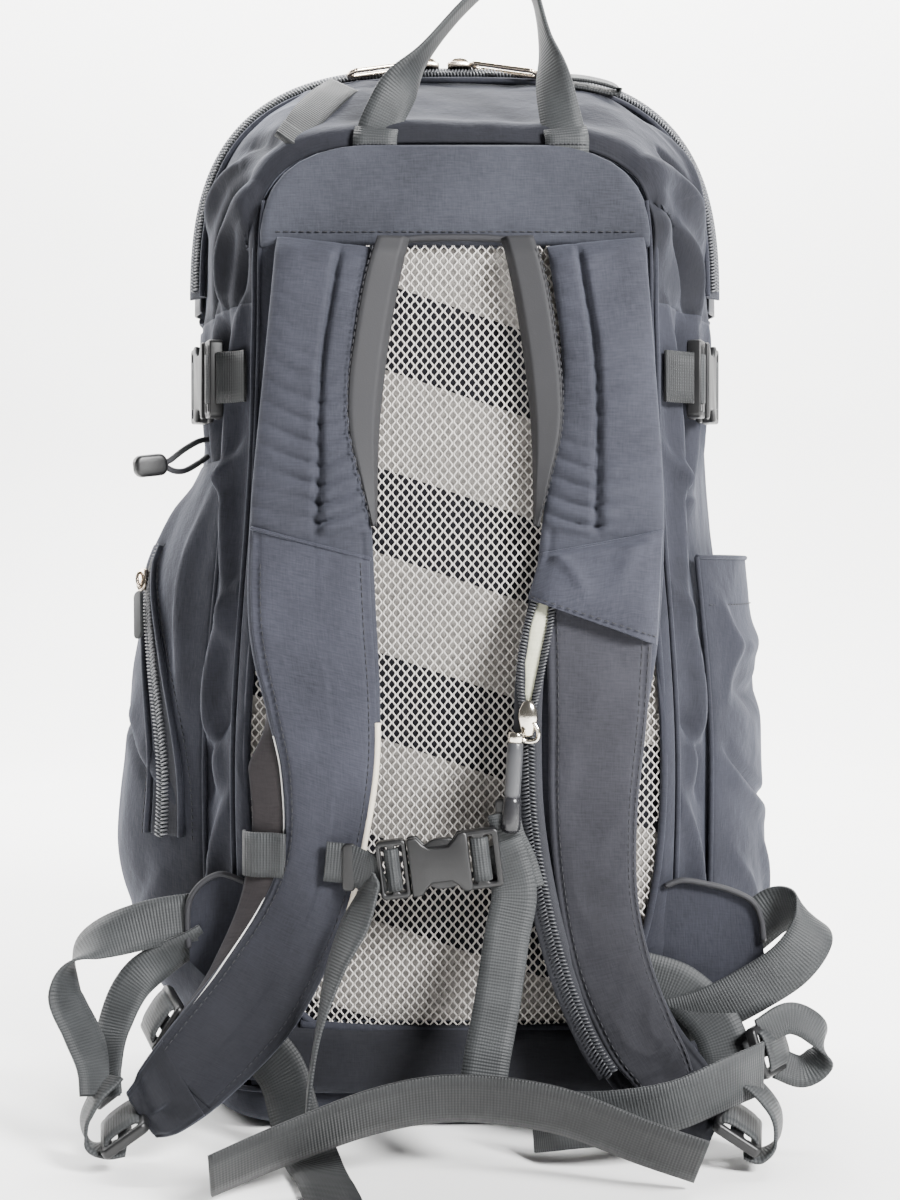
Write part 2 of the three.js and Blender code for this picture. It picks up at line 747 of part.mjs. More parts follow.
// ---------------------------------------------------------------- side-release buckles
// Seen along the strap: X runs from the mouth into the housing, Y is across and Z is outwards.
function buckleHousing({ long, wide, deep, cavity, web }) {
  const shell = extruded(roundedRect(long, wide, 4), deep, 3).translate(long / 2, 0, 0);
  const mouth = box(cavity + 1, wide - 5, deep - 4, (cavity - 1) / 2);
  const windows = box(cavity * 0.4, wide + 2, deep - 4, cavity * 0.68);
  const slot = box(4, web, deep + 2, long - 7);
  return cut(shell, mouth, windows, slot);
}
function bucklePlug({ wide, deep, cavity, web, base }, withProngs) {
  const body = extruded(roundedRect(base, wide, 3), deep - 2, 3).translate(-base / 2 - GAP, 0, 0);
  const slot = box(4, web, deep + 2, -base + 4);
  const tongue = box(cavity - 2, 5, deep - 5, cavity / 2 - 2.5);
  const arms = withProngs ? [-1, 1].map((s) => prongArm({ wide, cavity, deep }, s, -1)) : [];
  return cut(join(body, tongue, ...arms), slot);
}
function prongArm({ wide, cavity, deep }, side, root) {
  const far = wide / 2 - 3.2;
  const arm = new THREE.Shape([
    new THREE.Vector2(root, far - 4),
    new THREE.Vector2(cavity - 2, far - 4),
    new THREE.Vector2(cavity - 2, far - 1.4),
    new THREE.Vector2(cavity * 0.72, far),
    new THREE.Vector2(cavity * 0.52, far),
    new THREE.Vector2(cavity * 0.46, far - 1.4),
    new THREE.Vector2(root, far - 1.4),
  ]);
  return extruded(arm, deep - 5).rotateX(side > 0 ? 0 : Math.PI);
}

// ---------------------------------------------------------------- sternum strap
const STERNUM = { long: 42, wide: 27, deep: 10, cavity: 24, web: 21, base: 14 };
const sternumAt = V(-21, -134.5, 135.5);
const sternumAlong = V(Math.cos(7 * DEG), 0, Math.sin(7 * DEG));
const sternumUp = V(-Math.sin(7 * DEG), 0, Math.cos(7 * DEG));
const onSternum = (g) => placed(g, sternumAt, sternumAlong, sternumUp);

piece("sternum_housing", onSternum(buckleHousing(STERNUM)), finish.plastic);
piece("sternum_plug", onSternum(bucklePlug(STERNUM, false)), finish.plastic);
piece("sternum_prong_upper", onSternum(prongArm(STERNUM, 1, 0.2)), finish.plastic);
piece("sternum_prong_lower", onSternum(prongArm(STERNUM, -1, 0.2)), finish.plastic);
piece("sternum_glider_left", box(9, 4, 25, -47, -126.5, 133), finish.plastic);
piece("sternum_glider_right", box(11, 6, 17, 22, -130.5, 163), finish.plastic);
piece(
  "sternum_webbing_left",
  webbing(
    [V(-38.5, -137, 132), V(-43, -143, 118), V(-54, -149, 92), V(-62, -155, 64), V(-65, -159, 40), V(-66, -162, 18)],
    [V(0.3, 0, 1), V(0.6, -0.8, 0.4), V(0.1, -1, 0), V(0.1, -1, 0)],
    WEB20 - 2,
    12,
  ),
  finish.webbing,
);
piece(
  "sternum_webbing_right",
  webbing(
    [V(22, -126.8, 147), V(23, -126.8, 122), V(23, -131, 106), V(19, -144, 76), V(14, -152, 52), V(12, -156, 38)],
    [X, X],
    WEB20,
    12,
  ),
  finish.webbing,
);

// ---------------------------------------------------------------- main zip
const ARCH_C = 175; // the sliders turn about this height, which follows the flat top of the arch
const archPoint = (share, out) => {
  const rib = ribAt(ZIP_Y - 5);
  const p = onRib(rib, share);
  const ahead = onRib(rib, share + 0.001).sub(onRib(rib, share - 0.001));
  return p.addScaledVector(V(-ahead.z, 0, ahead.x).normalize(), out);
};
const Y = V(0, 1, 0);
piece(
  "main_zip_track",
  webbing(spread(SIDE_SHARE + 0.006, 1 - SIDE_SHARE - 0.006, 30).map((s) => archPoint(s, 2.6)), [Y, Y], 8, 30),
  finish.zip,
);

const PULLER = { long: 38, wide: 9 };
const PULLER_DROOP = -0.1;
const sliderZ = ribAt(ZIP_Y - 5).top + 7.2;
for (const side of [-1, 1]) {
  const name = side < 0 ? "left" : "right";
  const at = V(side * 8.5 - 6, ZIP_Y - 5, sliderZ);
  piece(`main_slider_${name}`, placed(sliderBlock(), at, X, Y), finish.steel);
  const puller = cut(
    extruded(roundedRect(PULLER.long, PULLER.wide, 4), 1.8, 3),
    extruded(roundedRect(PULLER.long - 5, PULLER.wide - 4, 2.4), 4, 3),
  );
  const lie = V(1, 0, side * PULLER_DROOP).normalize();
  const near = V(at.x + (side * SLIDER.long) / 2, at.y, sliderZ + 0.4);
  const centre = near.addScaledVector(lie, side * (PULLER.long / 2 + 0.5));
  piece(`wire_puller_${name}`, placed(puller, centre, lie, Y), finish.steel);
}
piece(
  "end_tab",
  webbing([V(-58, -60, 507), V(-74, -72, 490), V(-82, -84, 471)].map((p) => p.add(V(-5, -6, 8))), [V(0.7, 0.5, 0), V(0.7, 0.6, 0)], 15, 6),
  finish.webbing,
);
piece(
  "loop_tab",
  webbing([V(52, -27, 525), V(66, -28, 523.5), V(84, -29, 519)], [V(0, 1, 0.5), V(0, 1, 0.5)], 12, 5, 3),
  finish.webbing,
);

// ---------------------------------------------------------------- compression straps
const CLIP = { long: 34, wide: 38, deep: 10, cavity: 18, web: 26, base: 12 };
const CLIP_Z = 365;
for (const side of [-1, 1]) {
  const name = side < 0 ? "left" : "right";
  const rear = wall(side, -66, CLIP_Z);
  const front = wall(side, -30, CLIP_Z);
  const along = front.clone().sub(rear).normalize();
  const outward = V(along.y, -along.x, 0).multiplyScalar(side);
  const mouth = rear.clone().addScaledVector(outward, 9);
  const across = V(0, 0, side);
  piece(`compression_housing_${name}`, placed(buckleHousing(CLIP), mouth, along, across), finish.plastic);
  piece(`compression_plug_${name}`, placed(bucklePlug(CLIP, true), mouth, along, across), finish.plastic);
  const start = wall(side, -90, CLIP_Z).addScaledVector(outward, 2.4);
  const end = mouth.clone().addScaledVector(along, -CLIP.base - 2);
  piece(`compression_webbing_${name}`, webbing([start, start.clone().lerp(end, 0.5), end], [UP, UP], WEB25, 4), finish.webbing);
}

// ---------------------------------------------------------------- elastic cord
const CORD_D = 3;
const CORD = [
  wall(-1, -34, 339, 2.6),
  V(-133, -44, 338),
  V(-141, -54, 333),
  V(-146, -60, 328),
  V(-149, -62.5, 324.5),
  V(-146, -60, 321),
  V(-141, -53, 321),
  V(-133, -43, 326),
  wall(-1, -34, 330, 2.6),
];
function cord(route, diameter, steps) {
  const section = new THREE.Shape();
  section.absarc(0, 0, diameter / 2, 0, 2 * Math.PI);
  const path = new THREE.CatmullRomCurve3(route, false, "centripetal");
  return new THREE.ExtrudeGeometry(section, { steps, extrudePath: path, curveSegments: 4, bevelEnabled: false });
}
piece("elastic_cord", cord(CORD, CORD_D, 22), finish.webbing);
piece("cord_toggle", placed(extruded(roundedRect(17, 11, 4), 6, 3), V(-160, -69.5, 323), V(-0.8, -0.55, 0), UP), finish.plastic);

export default pack;
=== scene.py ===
import math

import bmesh
import bpy
import numpy as np
from mathutils import Matrix, Vector, noise
from mathutils.geometry import tessellate_polygon


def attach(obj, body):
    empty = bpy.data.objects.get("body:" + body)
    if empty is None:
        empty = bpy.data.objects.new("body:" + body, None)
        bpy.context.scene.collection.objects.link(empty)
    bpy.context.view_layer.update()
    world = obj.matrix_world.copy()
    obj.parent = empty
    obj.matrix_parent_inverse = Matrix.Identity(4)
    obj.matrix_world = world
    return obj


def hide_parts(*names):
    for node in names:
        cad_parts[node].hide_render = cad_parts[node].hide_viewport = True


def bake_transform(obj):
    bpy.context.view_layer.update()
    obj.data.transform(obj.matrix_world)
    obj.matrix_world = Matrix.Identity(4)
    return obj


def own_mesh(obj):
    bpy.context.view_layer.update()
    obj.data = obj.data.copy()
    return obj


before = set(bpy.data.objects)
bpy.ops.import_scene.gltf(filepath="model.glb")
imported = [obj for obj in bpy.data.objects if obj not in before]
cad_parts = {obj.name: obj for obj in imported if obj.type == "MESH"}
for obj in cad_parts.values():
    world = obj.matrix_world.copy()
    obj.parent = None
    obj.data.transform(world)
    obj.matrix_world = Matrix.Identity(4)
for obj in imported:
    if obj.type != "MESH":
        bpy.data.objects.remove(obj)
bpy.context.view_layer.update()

# ---------------------------------------------------------------- driving dimensions, in millimetres
MM = 0.001
BACK_Y = -95.0
FRONT_Y = 98.0
FRONT_SEAM_Y = 70.0
PAN_FRONT = 96.0
SIDE_LOW = 22.0
KNEE = 400.0
ZIP_Y = -8.0
SIDE_SHARE = 0.3
POCKET_Z = 170.0
WAIST_Z = 362.0
# Each rib of the bag: depth, half width at the foot, pocket, waist and knee, arch height, squareness.
RIBS = np.array(
    [
        [BACK_Y, 101, 106, 96, 95, 474, 4.0],
        [-55, 128, 131, 117, 119, 508, 3.5],
        [ZIP_Y, 142, 146, 130, 134, 531, 3.1],
        [25, 145, 149, 133, 136, 539, 3.0],
        [FRONT_SEAM_Y, 130, 134, 118, 119, 514, 2.8],
    ]
)
WEB20 = 20.0
WEB25 = 25.0
CLOTH_T = 2.0
SIDES = ((-1, "left"), (1, "right"))
TINY = 1e-9


# ---------------------------------------------------------------- small helpers
def vec(*values):
    return np.array(values, float)


UP = vec(0, 0, 1)
REARWARD = vec(0, -1, 0)
BAG_CENTRE = vec(0, 0, 250)


def unit(v):
    v = np.asarray(v, float)
    return v / np.maximum(np.linalg.norm(v, axis=-1, keepdims=True), TINY)


def smooth(t):
    t = np.clip(t, 0, 1)
    return t * t * (3 - 2 * t)


def mix(a, b, t):
    return a + (b - a) * t


def stops(values, t):
    """values spread evenly over 0..1, joined smoothly."""
    return catmull(np.array(values, float).reshape(len(values), -1), t)[:, 0]


def catmull(points, t):
    """A smooth curve through points, evaluated at the parameters t in 0..1."""
    points = np.asarray(points, float)
    t = np.atleast_1d(np.asarray(t, float))
    n = len(points) - 1
    at = np.clip(t, 0, 1) * n
    k = np.minimum(at.astype(int), n - 1)
    s = (at - k)[:, None]
    p1 = points[k]
    p2 = points[k + 1]
    p0 = np.where((k > 0)[:, None], points[np.maximum(k - 1, 0)], 2 * p1 - p2)
    p3 = np.where((k + 2 <= n)[:, None], points[np.minimum(k + 2, n)], 2 * p2 - p1)
    square = (2 * p0 - 5 * p1 + 4 * p2 - p3) * s**2
    cube = (3 * p1 - p0 - 3 * p2 + p3) * s**3
    return 0.5 * (2 * p1 + (p2 - p0) * s + square + cube)


def run_of(places):
    """The length travelled at each of a line of places."""
    return np.concatenate([[0], np.cumsum(np.linalg.norm(np.diff(places, axis=0), axis=1))])


def along_curve(points, count):
    """count points at even steps of length along a smooth curve."""
    fine = catmull(points, np.linspace(0, 1, 60 * len(points)))
    run = run_of(fine)
    at = np.linspace(0, run[-1], count)
    return np.stack([np.interp(at, run, fine[:, k]) for k in range(3)], 1)


def curve_length(points):
    return float(run_of(along_curve(points, 200))[-1])


def grain(points, scale, seed=0.0):
    """Smooth noise in -1..1 at each point; scale holds the three repeats per metre of millimetre points."""
    flat = np.asarray(points, float).reshape(-1, 3) * np.asarray(scale, float) * MM + seed
    values = np.array([noise.noise(Vector(p)) for p in flat])
    return values.reshape(np.asarray(points).shape[:-1])


def normals_of(grid):
    return unit(np.cross(np.gradient(grid, axis=1), np.gradient(grid, axis=0)))


FOLD_STEPS = 24
FOLD_HEIGHT = 1.4
FOLD_WIDTH = 0.85


def creased(grid, folds):
    """How far the listed folds lift a grid. Each fold has a line of places, a width and a height."""
    lift = np.zeros(grid.shape[:2])
    for line, width, height in folds:
        route = along_curve(line, FOLD_STEPS)
        near = np.full(grid.shape[:2], np.inf)
        fade = np.zeros(grid.shape[:2])
        for k, (a, b) in enumerate(zip(route[:-1], route[1:])):
            span = b - a
            t = np.clip(np.sum((grid - a) * span, 2) / max(span @ span, TINY), 0, 1)
            gap = np.sum((grid - a - span * t[..., None]) ** 2, 2)
            closer = gap < near
            near = np.where(closer, gap, near)
            fade = np.where(closer, (k + t) / (FOLD_STEPS - 1), fade)
        taper = np.sin(math.pi * (0.06 + 0.88 * fade)) ** 0.6
        lift += FOLD_HEIGHT * height * np.exp(-near / (FOLD_WIDTH * width) ** 2) * taper
    return lift


# ---------------------------------------------------------------- meshes
def make_mesh(name, points, faces, uvs, material):
    mesh = bpy.data.meshes.new(name)
    mesh.from_pydata((np.asarray(points) * MM).tolist(), [], faces)
    if uvs is not None:
        layer = mesh.uv_layers.new(name="UVMap")
        loops = np.zeros(len(mesh.loops), int)
        mesh.loops.foreach_get("vertex_index", loops)
        layer.data.foreach_set("uv", np.asarray(uvs, float)[loops].astype(np.float32).ravel())
    mesh.validate()
    mesh.update()
    mesh.polygons.foreach_set("use_smooth", np.ones(len(mesh.polygons), bool))
    mesh.materials.append(material)
    obj = bpy.data.objects.new(name, mesh)
    bpy.context.scene.collection.objects.link(obj)
    return obj


def arc_uv(grid):
    """Flat coordinates in metres for a grid of points: lengths along its rows and its columns."""
    rows, cols = grid.shape[:2]
    across = np.linalg.norm(np.diff(grid, axis=1), axis=2)
    down = np.linalg.norm(np.diff(grid, axis=0), axis=2)
    u = np.concatenate([np.zeros((rows, 1)), np.cumsum(across, 1)], 1)
    u -= u[:, cols // 2][:, None]
    v = np.concatenate([np.zeros((1, cols)), np.cumsum(down, 0)], 0)
    return np.stack([u, v], 2).reshape(-1, 2) * MM


def grid_faces(rows, cols, wrap=False):
    faces = []
    for i in range(rows - 1):
        for j in range(cols if wrap else cols - 1):
            k = (j + 1) % cols
            faces.append((i * cols + j, i * cols + k, (i + 1) * cols + k, (i + 1) * cols + j))
    return faces


def faces_away(grid, centre):
    """Whether a grid's normals point away from centre on the whole."""
    return np.sum(normals_of(grid) * (grid - centre), axis=2).mean() >= 0


def sheet_mesh(name, grid, material, thick, inside=BAG_CENTRE):
    """Cloth over a grid of points, thickened towards inside."""
    faces = grid_faces(*grid.shape[:2])
    if not faces_away(grid, inside):
        faces = [f[::-1] for f in faces]
    obj = make_mesh(name, grid.reshape(-1, 3), faces, arc_uv(grid), material)
    if thick:
        solid = obj.modifiers.new("thick", "SOLIDIFY")
        solid.thickness = thick * MM
        solid.offset = -1
        bpy.context.view_layer.objects.active = obj
        obj.select_set(True)
        bpy.ops.object.modifier_apply(modifier=solid.name)
        obj.select_set(False)
    return obj


def bands(points, across, count):
    """Places, cross directions and facings along a smooth curve."""
    place = along_curve(points, count)
    way = unit(np.gradient(place, axis=0))
    wide = catmull(across, np.linspace(0, 1, count))
    wide = unit(wide - np.sum(wide * way, 1)[:, None] * way)
    return place, wide, np.cross(wide, way)


def capped_faces(rows, cols):
    """The faces of a tube of rings, closed at both ends."""
    ends = [tuple(range(cols))[::-1], tuple((rows - 1) * cols + j for j in range(cols))]
    return grid_faces(rows, cols, wrap=True) + ends


def ring_mesh(name, rings, material, uvs=None):
    rows, cols = rings.shape[:2]
    if uvs is None:
        around = np.cumsum(np.linalg.norm(np.roll(rings, -1, 1) - rings, axis=2), 1)
        run = run_of(rings.mean(1))
        uvs = np.stack([around, np.repeat(run[:, None], cols, 1)], 2).reshape(-1, 2) * MM
    obj = make_mesh(name, rings.reshape(-1, 3), capped_faces(rows, cols), uvs, material)
    bm_fix_normals(obj)
    return obj


def bm_fix_normals(obj):
    bm = bmesh.new()
    bm.from_mesh(obj.data)
    bmesh.ops.recalc_face_normals(bm, faces=bm.faces)
    bm.to_mesh(obj.data)
    bm.free()


# A webbing's section: places across its width, and which face they lie on.
WEB_SECTION = (
    (-0.5, 0), (-0.49, -1), (-0.25, -1), (0, -1), (0.25, -1), (0.49, -1),
    (0.5, 0), (0.49, 1), (0.25, 1), (0, 1), (-0.25, 1), (-0.49, 1),
)


def webbing(name, points, across, width, material, thick, count=None):
    """A flat strap along a curve. Its flat coordinates hold its width from -0.5 to 0.5 and its length."""
    count = count or max(8, int(curve_length(points) / 2.5))
    place, wide, face = bands(points, across, count)
    rings = np.stack([place + wide * (a * width) + face * (b * thick / 2) for a, b in WEB_SECTION], 1)
    run = np.repeat(run_of(place)[:, None] * MM, len(WEB_SECTION), 1)
    uvs = np.stack([np.tile([a for a, _ in WEB_SECTION], (count, 1)), run], 2)
    return ring_mesh(name, rings, material, uvs.reshape(-1, 2))


def tube(name, points, radius, material, sides, count):
    """A round cord along a curve, with as little twist as the curve allows."""
    place = along_curve(points, count)
    way = unit(np.gradient(place, axis=0))
    wide = [unit(np.cross(way[0], (0.31, 0.52, 0.79)))]
    for k in range(1, count):
        wide.append(unit(wide[-1] - np.dot(wide[-1], way[k]) * way[k]))
    wide = np.array(wide)
    up = np.cross(way, wide)
    angles = np.arange(sides) / sides * 2 * math.pi
    rings = np.stack([place + (wide * math.cos(a) + up * math.sin(a)) * radius for a in angles], 1)
    return ring_mesh(name, rings, material)


# A bead's section: places along it, and its share of the full width there.
BEAD_PROFILE = ((-0.5, 0.35), (-0.38, 0.85), (0.0, 1.0), (0.38, 0.85), (0.5, 0.35))


def beads(name, places, ways, ups, sizes, material, sides=6):
    """Many small capsules in one mesh, such as stitches or zip teeth."""
    ways = unit(ways)
    ups = unit(ups - np.sum(ups * ways, 1)[:, None] * ways)
    side = np.cross(ways, ups)
    long, wide, high = sizes
    points = []
    faces = []
    angles = np.arange(sides) / sides * 2 * math.pi
    pattern = capped_faces(len(BEAD_PROFILE), sides)
    for p, w, u, s in zip(places, ways, ups, side):
        faces += [tuple(len(points) + k for k in f) for f in pattern]
        for t, r in BEAD_PROFILE:
            for a in angles:
                around = s * (math.cos(a) * r * wide / 2) + u * (math.sin(a) * r * high / 2)
                points.append(p + w * t * long + around)
    return make_mesh(name, points, faces, None, material)


def paced(points, facing, pitch, least):
    """Places a pitch apart along a curve, their directions, and the way each faces."""
    count = max(least, int(curve_length(points) / pitch))
    place = along_curve(points, count)
    if np.ndim(facing) == 1:
        facing = np.broadcast_to(facing, place.shape)
    else:
        facing = catmull(facing, np.linspace(0, 1, count))
    return place, unit(np.gradient(place, axis=0)), facing


def stitches(name, points, facing, material, pitch, long, thick):
    place, way, facing = paced(points, facing, pitch, 2)
    return beads(name, place, way, facing, (long, thick, thick), material, 5)


def coil(name, points, facing, material, width, pitch, high):
    """The closed teeth of a coil zip: two rows of slanted strands that meet on the line."""
    place, way, facing = paced(points, facing, pitch, 4)
    side = unit(np.cross(way, facing))
    places = np.concatenate([place + side * (s * width * 0.22) + way * (s * pitch * 0.25) for s in (-1, 1)])
    ways = np.concatenate([side * s + way * 0.28 for s in (-1, 1)])
    sizes = (width * 0.6, pitch * 0.62, high)
    return beads(name, places, ways, np.concatenate([facing, facing]), sizes, material)


def shrink(outline, inset):
    """Moves a closed outline to the left of its direction of travel, with the corners' reach limited."""
    points = np.asarray(outline, float)
    before = unit(points - np.roll(points, 1, axis=0))
    after = unit(np.roll(points, -1, axis=0) - points)
    left_before = np.stack([-before[:, 1], before[:, 0]], 1)
    left_after = np.stack([-after[:, 1], after[:, 0]], 1)
    way = unit(left_before + left_after)
    reach = inset / np.clip((way * left_after).sum(1), 0.6, 1)
    return points + way * reach[:, None]


def turn(outline):
    """Twice the area inside a closed outline, above 0 when it runs anticlockwise."""
    x, y = np.asarray(outline, float).T
    return (x * np.roll(y, -1) - y * np.roll(x, -1)).sum()


def flat_plate(name, outlines, depth, bevel, material, matrix, steps):
    """A plate from flat outlines (the first is its edge and the rest are holes), with rounded edges."""
    edges = [list(o) if (turn(o) > 0) == (k == 0) else list(o)[::-1] for k, o in enumerate(outlines)]
    angles = np.linspace(0, math.pi / 2, steps + 1)
    rounding = [(bevel * (1 - math.sin(a)), depth / 2 - bevel * (1 - math.cos(a))) for a in angles]
    profile = [(inset, -z) for inset, z in rounding] + rounding[::-1]
    points = []
    faces = []
    caps = []
    for edge in edges:
        n = len(edge)
        start = len(points)
        for inset, z in profile:
            points += [(x, y, z) for x, y in shrink(edge, inset)]
        for k in range(len(profile) - 1):
            for i in range(n):
                a = start + k * n + i
                b = start + k * n + (i + 1) % n
                faces.append((a, b, b + n, a + n))
        caps.append((start, start + (len(profile) - 1) * n, n))
    low = [[Vector(points[s + i]) for i in range(n)] for s, _, n in caps]
    index = [s + i for s, _, n in caps for i in range(n)]
    lift = {s + i: t + i for s, t, n in caps for i in range(n)}
    for tri in tessellate_polygon(low):
        face = [index[i] for i in tri]
        (ax, ay, _), (bx, by, _), (cx, cy, _) = (points[i] for i in face)
        if (bx - ax) * (cy - ay) - (cx - ax) * (by - ay) > 0:
            face = face[::-1]
        faces.append(tuple(face))
        faces.append(tuple(lift[i] for i in face[::-1]))
    obj = make_mesh(name, points, faces, None, material)
    obj.data.transform(matrix)
    crisp = obj.modifiers.new("crisp", "EDGE_SPLIT")
    crisp.split_angle = math.radians(40)
    return obj


def rounded(wide, high, r, x=0.0, steps=4):
    """A rounded rectangle's outline, centred at x."""
    points = []
    for quarter, (right, top) in enumerate(((1, 1), (-1, 1), (-1, -1), (1, -1))):
        for k in range(steps + 1):
            a = math.radians(90 * quarter + 90 * k / steps)
            across = x + right * (wide / 2 - r) + r * math.cos(a)
            points.append((across, top * (high / 2 - r) + r * math.sin(a)))
    return points


def frame_matrix(origin, along, across):
    """A frame at a place, with x along one direction and y as near as can be to another."""
    x = unit(along)
    y = unit(np.asarray(across) - np.dot(across, x) * x)
    z = np.cross(x, y)
    m = Matrix.Identity(4)
    for k in range(3):
        m[k][0], m[k][1], m[k][2], m[k][3] = x[k], y[k], z[k], origin[k] * MM
    return m


# ---------------------------------------------------------------- materials
class Nodes:
    """A material's node tree, with a short way to add a node and join it up."""

    def __init__(self, name):
        self.material = bpy.data.materials.new(name)
        self.material.use_nodes = True
        self.tree = self.material.node_tree
        self.shader = next(n for n in self.tree.nodes if n.type == "BSDF_PRINCIPLED")

    def add(self, kind, settings=None, **inputs):
        node = self.tree.nodes.new(kind)
        for key, value in (settings or {}).items():
            setattr(node, key, value)
        for key, value in inputs.items():
            self.put(node.inputs[key.replace("_", " ")], value)
        return node

    def put(self, socket, value):
        if isinstance(value, bpy.types.NodeSocket):
            self.tree.links.new(value, socket)
        elif isinstance(value, tuple) and len(value) == 3 and socket.type == "RGBA":
            socket.default_value = (*value, 1)
        else:
            socket.default_value = value

    def math(self, operation, a, b=0.0, c=0.0):
        node = self.add("ShaderNodeMath", {"operation": operation})
        for socket, value in zip(node.inputs, (a, b, c)):
            self.put(socket, value)
        return node.outputs[0]

    def uv(self):
        return self.add("ShaderNodeUVMap", {"uv_map": "UVMap"}).outputs["UV"]

    def place(self):
        return self.add("ShaderNodeTexCoord").outputs["Object"]

    def split(self, vector):
        """The x, y and z of a vector."""
        node = self.add("ShaderNodeSeparateXYZ")
        self.put(node.inputs[0], vector)
        return node.outputs

    def scaled(self, vector, scale):
        node = self.add("ShaderNodeMapping")
        self.put(node.inputs["Vector"], vector)
        node.inputs["Scale"].default_value = scale
        return node.outputs[0]

    def noise(self, vector, scale, detail):
        node = self.add("ShaderNodeTexNoise", None, Scale=scale, Detail=detail, Roughness=0.55)
        self.put(node.inputs["Vector"], vector)
        return node.outputs["Fac"]

    def ramp(self, value, stops_and_colours):
        node = self.add("ShaderNodeValToRGB")
        self.put(node.inputs["Fac"], value)
        elements = node.color_ramp.elements
        while len(elements) < len(stops_and_colours):
            elements.new(0.5)
        for element, (at, colour) in zip(elements, stops_and_colours):
            element.position = at
            element.color = (*colour, 1)
        return node.outputs["Color"]

    def blend(self, factor, a, b, kind="MIX"):
        node = self.add("ShaderNodeMix", {"data_type": "RGBA", "blend_type": kind})
        for socket, value in ((node.inputs[0], factor), (node.inputs[6], a), (node.inputs[7], b)):
            self.put(socket, value)
        return node.outputs[2]

    def bump(self, height, distance, strength=1.0, before=None):
        node = self.add("ShaderNodeBump", None, Strength=strength, Distance=distance, Height=height)
        if before is not None:
            self.put(node.inputs["Normal"], before)
        return node.outputs[0]

    def finish(self, **inputs):
        for key, value in inputs.items():
            self.put(self.shader.inputs[key.replace("_", " ")], value)
        return self.material


# Heights in metres, in object space, over which the painted shade at the low end of some cloths fades out:
# darkest at the first, none above the second.
PAINTED_SHADE_HEIGHTS = (0.05, 0.21)
SHEEN_TINT = (0.75, 0.8, 1.0)


def cloth_material(name, dark, light, rib=1150.0, sheen=0.13, foot=1.0):
    """Nylon with fine cross ribs, faint blotches and a soft sheen. foot below 1 darkens its low end with
    painted shade, standing in for the light falling off towards the ground.
    """
    n = Nodes(name)
    uv = n.uv()
    yarn = n.noise(n.scaled(uv, (140, rib, 1)), 1.0, 2.0)
    warp = n.noise(n.scaled(uv, (1300, 160, 1)), 1.0, 1.0)
    weave = n.math("MULTIPLY_ADD", warp, 0.45, n.math("MULTIPLY", yarn, 0.75))
    blotch = n.noise(n.place(), 22.0, 4.0)
    tone = n.math("MULTIPLY_ADD", blotch, 0.55, n.math("MULTIPLY", weave, 0.5))
    colour = n.ramp(tone, [(0.3, dark), (0.72, light)])
    # Painted shade: the colour is multiplied down to foot below the lower height, darker towards the bottom,
    # for the light falling off there.
    if foot < 1:
        smooth_step = {"interpolation_type": "SMOOTHSTEP"}
        rise = n.add("ShaderNodeMapRange", smooth_step, Value=n.split(n.place())[2], To_Min=foot, To_Max=1.0)
        n.put(rise.inputs["From Min"], PAINTED_SHADE_HEIGHTS[0])
        n.put(rise.inputs["From Max"], PAINTED_SHADE_HEIGHTS[1])
        grey = n.add("ShaderNodeCombineXYZ")
        for socket in grey.inputs:
            n.put(socket, rise.outputs[0])
        colour = n.blend(1.0, colour, grey.outputs[0], "MULTIPLY")
    soft = n.bump(n.noise(n.place(), 48.0, 4.0), 0.003, 0.5)
    normal = n.bump(weave, 0.00032, 0.55, soft)
    return n.finish(
        Base_Color=colour, Roughness=0.86, Normal=normal, Sheen_Weight=sheen, Sheen_Roughness=0.45,
        Sheen_Tint=SHEEN_TINT, Specular_IOR_Level=0.25,
    )


def webbing_material(name, dark, light):
    """Woven strap with cross ribs and lengthwise warp lines."""
    n = Nodes(name)
    u, v, _ = n.split(n.uv())
    pick = n.math("SINE", n.math("MULTIPLY", v, 4400.0))
    wale = n.math("SINE", n.math("MULTIPLY", u, 110.0))
    height = n.math("MULTIPLY_ADD", pick, 0.16, n.math("MULTIPLY_ADD", wale, 0.05, 0.5))
    worn = n.noise(n.place(), 60.0, 3.0)
    tone = n.math("MULTIPLY_ADD", worn, 0.5, n.math("MULTIPLY", height, 0.5))
    colour = n.ramp(tone, [(0.2, dark), (0.8, light)])
    return n.finish(
        Base_Color=colour, Roughness=0.6, Normal=n.bump(height, 0.0006, 0.8),
        Sheen_Weight=0.08, Sheen_Roughness=0.4, Specular_IOR_Level=0.35,
    )


VARY = 0.12


def plain_material(name, colour, rough, metal=0.0, grain_size=900.0, grain_depth=0.0001):
    """A plain finish, a little uneven in its colour and its gloss, with a fine grain."""
    n = Nodes(name)
    speck = n.noise(n.place(), grain_size, 2.0)
    wear = n.noise(n.place(), 40.0, 4.0)
    low = tuple(c * (1 - VARY) for c in colour)
    high = tuple(min(1.0, c * (1 + VARY)) for c in colour)
    rough_map = n.math("MULTIPLY_ADD", wear, 0.16, rough - 0.08)
    return n.finish(
        Base_Color=n.ramp(wear, [(0.3, low), (0.7, high)]), Roughness=rough_map, Metallic=metal,
        Normal=n.bump(speck, grain_depth, 0.5),
    )


def backing_material(name):
    """What shows through the open net: a pale layer crossed by plain dark bands."""
    n = Nodes(name)
    x, _, z = n.split(n.place())
    lean = n.math("MULTIPLY_ADD", x, 0.34, z)
    wave = n.math("SINE", n.math("MULTIPLY", lean, 71.0))
    dark = n.math("GREATER_THAN", wave, 0.12)
    weave = n.noise(n.scaled(n.place(), (420, 420, 420)), 1.0, 1.0)
    pale = n.ramp(weave, [(0.3, (0.15, 0.142, 0.134)), (0.7, (0.26, 0.246, 0.228))])
    colour = n.blend(dark, pale, (0.008, 0.008, 0.011))
    normal = n.bump(weave, 0.0006, 0.6)
    return n.finish(Base_Color=colour, Roughness=0.9, Normal=normal, Specular_IOR_Level=0.2)


